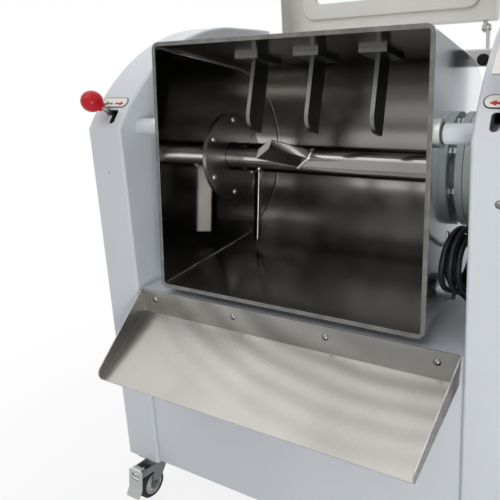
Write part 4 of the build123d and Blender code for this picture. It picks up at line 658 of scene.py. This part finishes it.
def add_weld(name, x, angle):
    turn = radians(angle)
    out = Vector((0, -cos(turn), sin(turn)))
    round_shaft = Vector((0, sin(turn), cos(turn)))
    corners = blade_corners()
    route = []
    for start, end in zip(corners, corners[1:] + corners[:1]):
        for step in range(WELD_STEPS):
            spot = start.lerp(end, step / WELD_STEPS)
            height = sqrt(SHAFT_RADIUS ** 2 - spot.y ** 2)
            route.append(Vector(from_shaft(x + spot.x, 0, 0)) + spot.y * round_shaft + height * out)
    curve, spline = new_tube(name, "POLY", route, WELD_RADIUS, WELD_ROUNDNESS)
    spline.use_cyclic_u = True
    fit_piece(add_object(name, curve), "agitator", WELD_STEEL)


# Studio
def add_lamp(name, spot, target, size, power):
    light = bpy.data.lights.new(name, "AREA")
    light.shape = "RECTANGLE"
    light.size, light.size_y = size
    light.energy = power
    lamp = add_object(name, light)
    lamp.location = spot
    lamp.rotation_euler = (Vector(target) - Vector(spot)).to_track_quat("-Z", "Y").to_euler()


def pictured(nodes, links):
    ray = nodes.new("ShaderNodeLightPath")
    seen = ray.outputs[PICTURED_RAYS[0]]
    for kind in PICTURED_RAYS[1:]:
        seen = calculate(nodes, links, "MAXIMUM", seen, ray.outputs[kind])
    return seen


def add_world():
    world = bpy.data.worlds.new("studio")
    bpy.context.scene.world = world
    world.use_nodes = True
    nodes, links = world.node_tree.nodes, world.node_tree.links
    room = nodes["Background"]
    room.inputs["Color"].default_value = ROOM_COLOUR
    room.inputs["Strength"].default_value = ROOM_STRENGTH
    backdrop = nodes.new("ShaderNodeBackground")
    backdrop.inputs["Color"].default_value = WHITE_LIGHT
    backdrop.inputs["Strength"].default_value = WHITE_STRENGTH
    heading = nodes.new("ShaderNodeTexCoord")
    depth = axis_of(nodes, links, heading.outputs["Generated"], "Y")
    behind = map_range(nodes, links, depth, BACKDROP_BLEND)
    share = calculate(nodes, links, "MAXIMUM", behind, pictured(nodes, links))
    lights = [light.outputs["Background"] for light in (room, backdrop)]
    mix_shaders(nodes, links, share, *lights, "World Output")


def floor_finish():
    material = paint("studio_floor", *FLOOR_COLOURS, FLOOR_ROUGH)
    nodes, links, shader = shader_parts(material)
    glow = nodes.new("ShaderNodeEmission")
    glow.inputs["Color"].default_value = WHITE_LIGHT
    glow.inputs["Strength"].default_value = WHITE_STRENGTH
    reach = length_of(nodes, links, texture_place(nodes, links))
    fade = map_range(nodes, links, reach, FLOOR_GLOW_REACH, FLOOR_GLOW_SHARE)
    share = calculate(nodes, links, "MULTIPLY", fade, pictured(nodes, links))
    mix_shaders(nodes, links, share, shader.outputs["BSDF"], glow.outputs["Emission"], "Material Output")
    return material


def add_floor():
    mesh = bpy.data.meshes.new("floor")
    corners = [(x * FLOOR_HALF, y * FLOOR_HALF, 0) for x, y in ((-1, -1), (1, -1), (1, 1), (-1, 1))]
    mesh.from_pydata(corners, [], [(0, 1, 2, 3)])
    mesh.materials.append(floor_finish())
    add_object("floor", mesh)


def add_camera():
    data = bpy.data.cameras.new("view")
    data.sensor_width = SENSOR
    data.lens = FOCAL_PIXELS / IMAGE_SIDE * SENSOR
    data.shift_x = (IMAGE_SIDE / 2 - CENTRE_PIXEL[0]) / IMAGE_SIDE
    data.shift_y = (CENTRE_PIXEL[1] - IMAGE_SIDE / 2) / IMAGE_SIDE
    camera = add_object("view", data)
    turn = Matrix.Rotation(radians(CAMERA_YAW), 4, "Z")
    nod = Matrix.Rotation(pi / 2 - radians(CAMERA_PITCH), 4, "X")
    roll = Matrix.Rotation(radians(CAMERA_ROLL), 4, "Z")
    camera.matrix_world = Matrix.Translation(CAMERA_SPOT) @ turn @ nod @ roll
    bpy.context.scene.camera = camera


def add_studio():
    bpy.context.scene.view_settings.view_transform = "Standard"
    add_world()
    add_floor()
    for lamp in LAMPS:
        add_lamp(*lamp)


add_camera()
dress_frame()
add_cord()
add_lever_plate("left_lever", -1)
add_lever_plate("right_lever", 1)
for number, (blade_x, blade_angle) in enumerate(BLADES, 1):
    add_weld(f"blade_weld_{number}", blade_x, blade_angle)
add_studio()
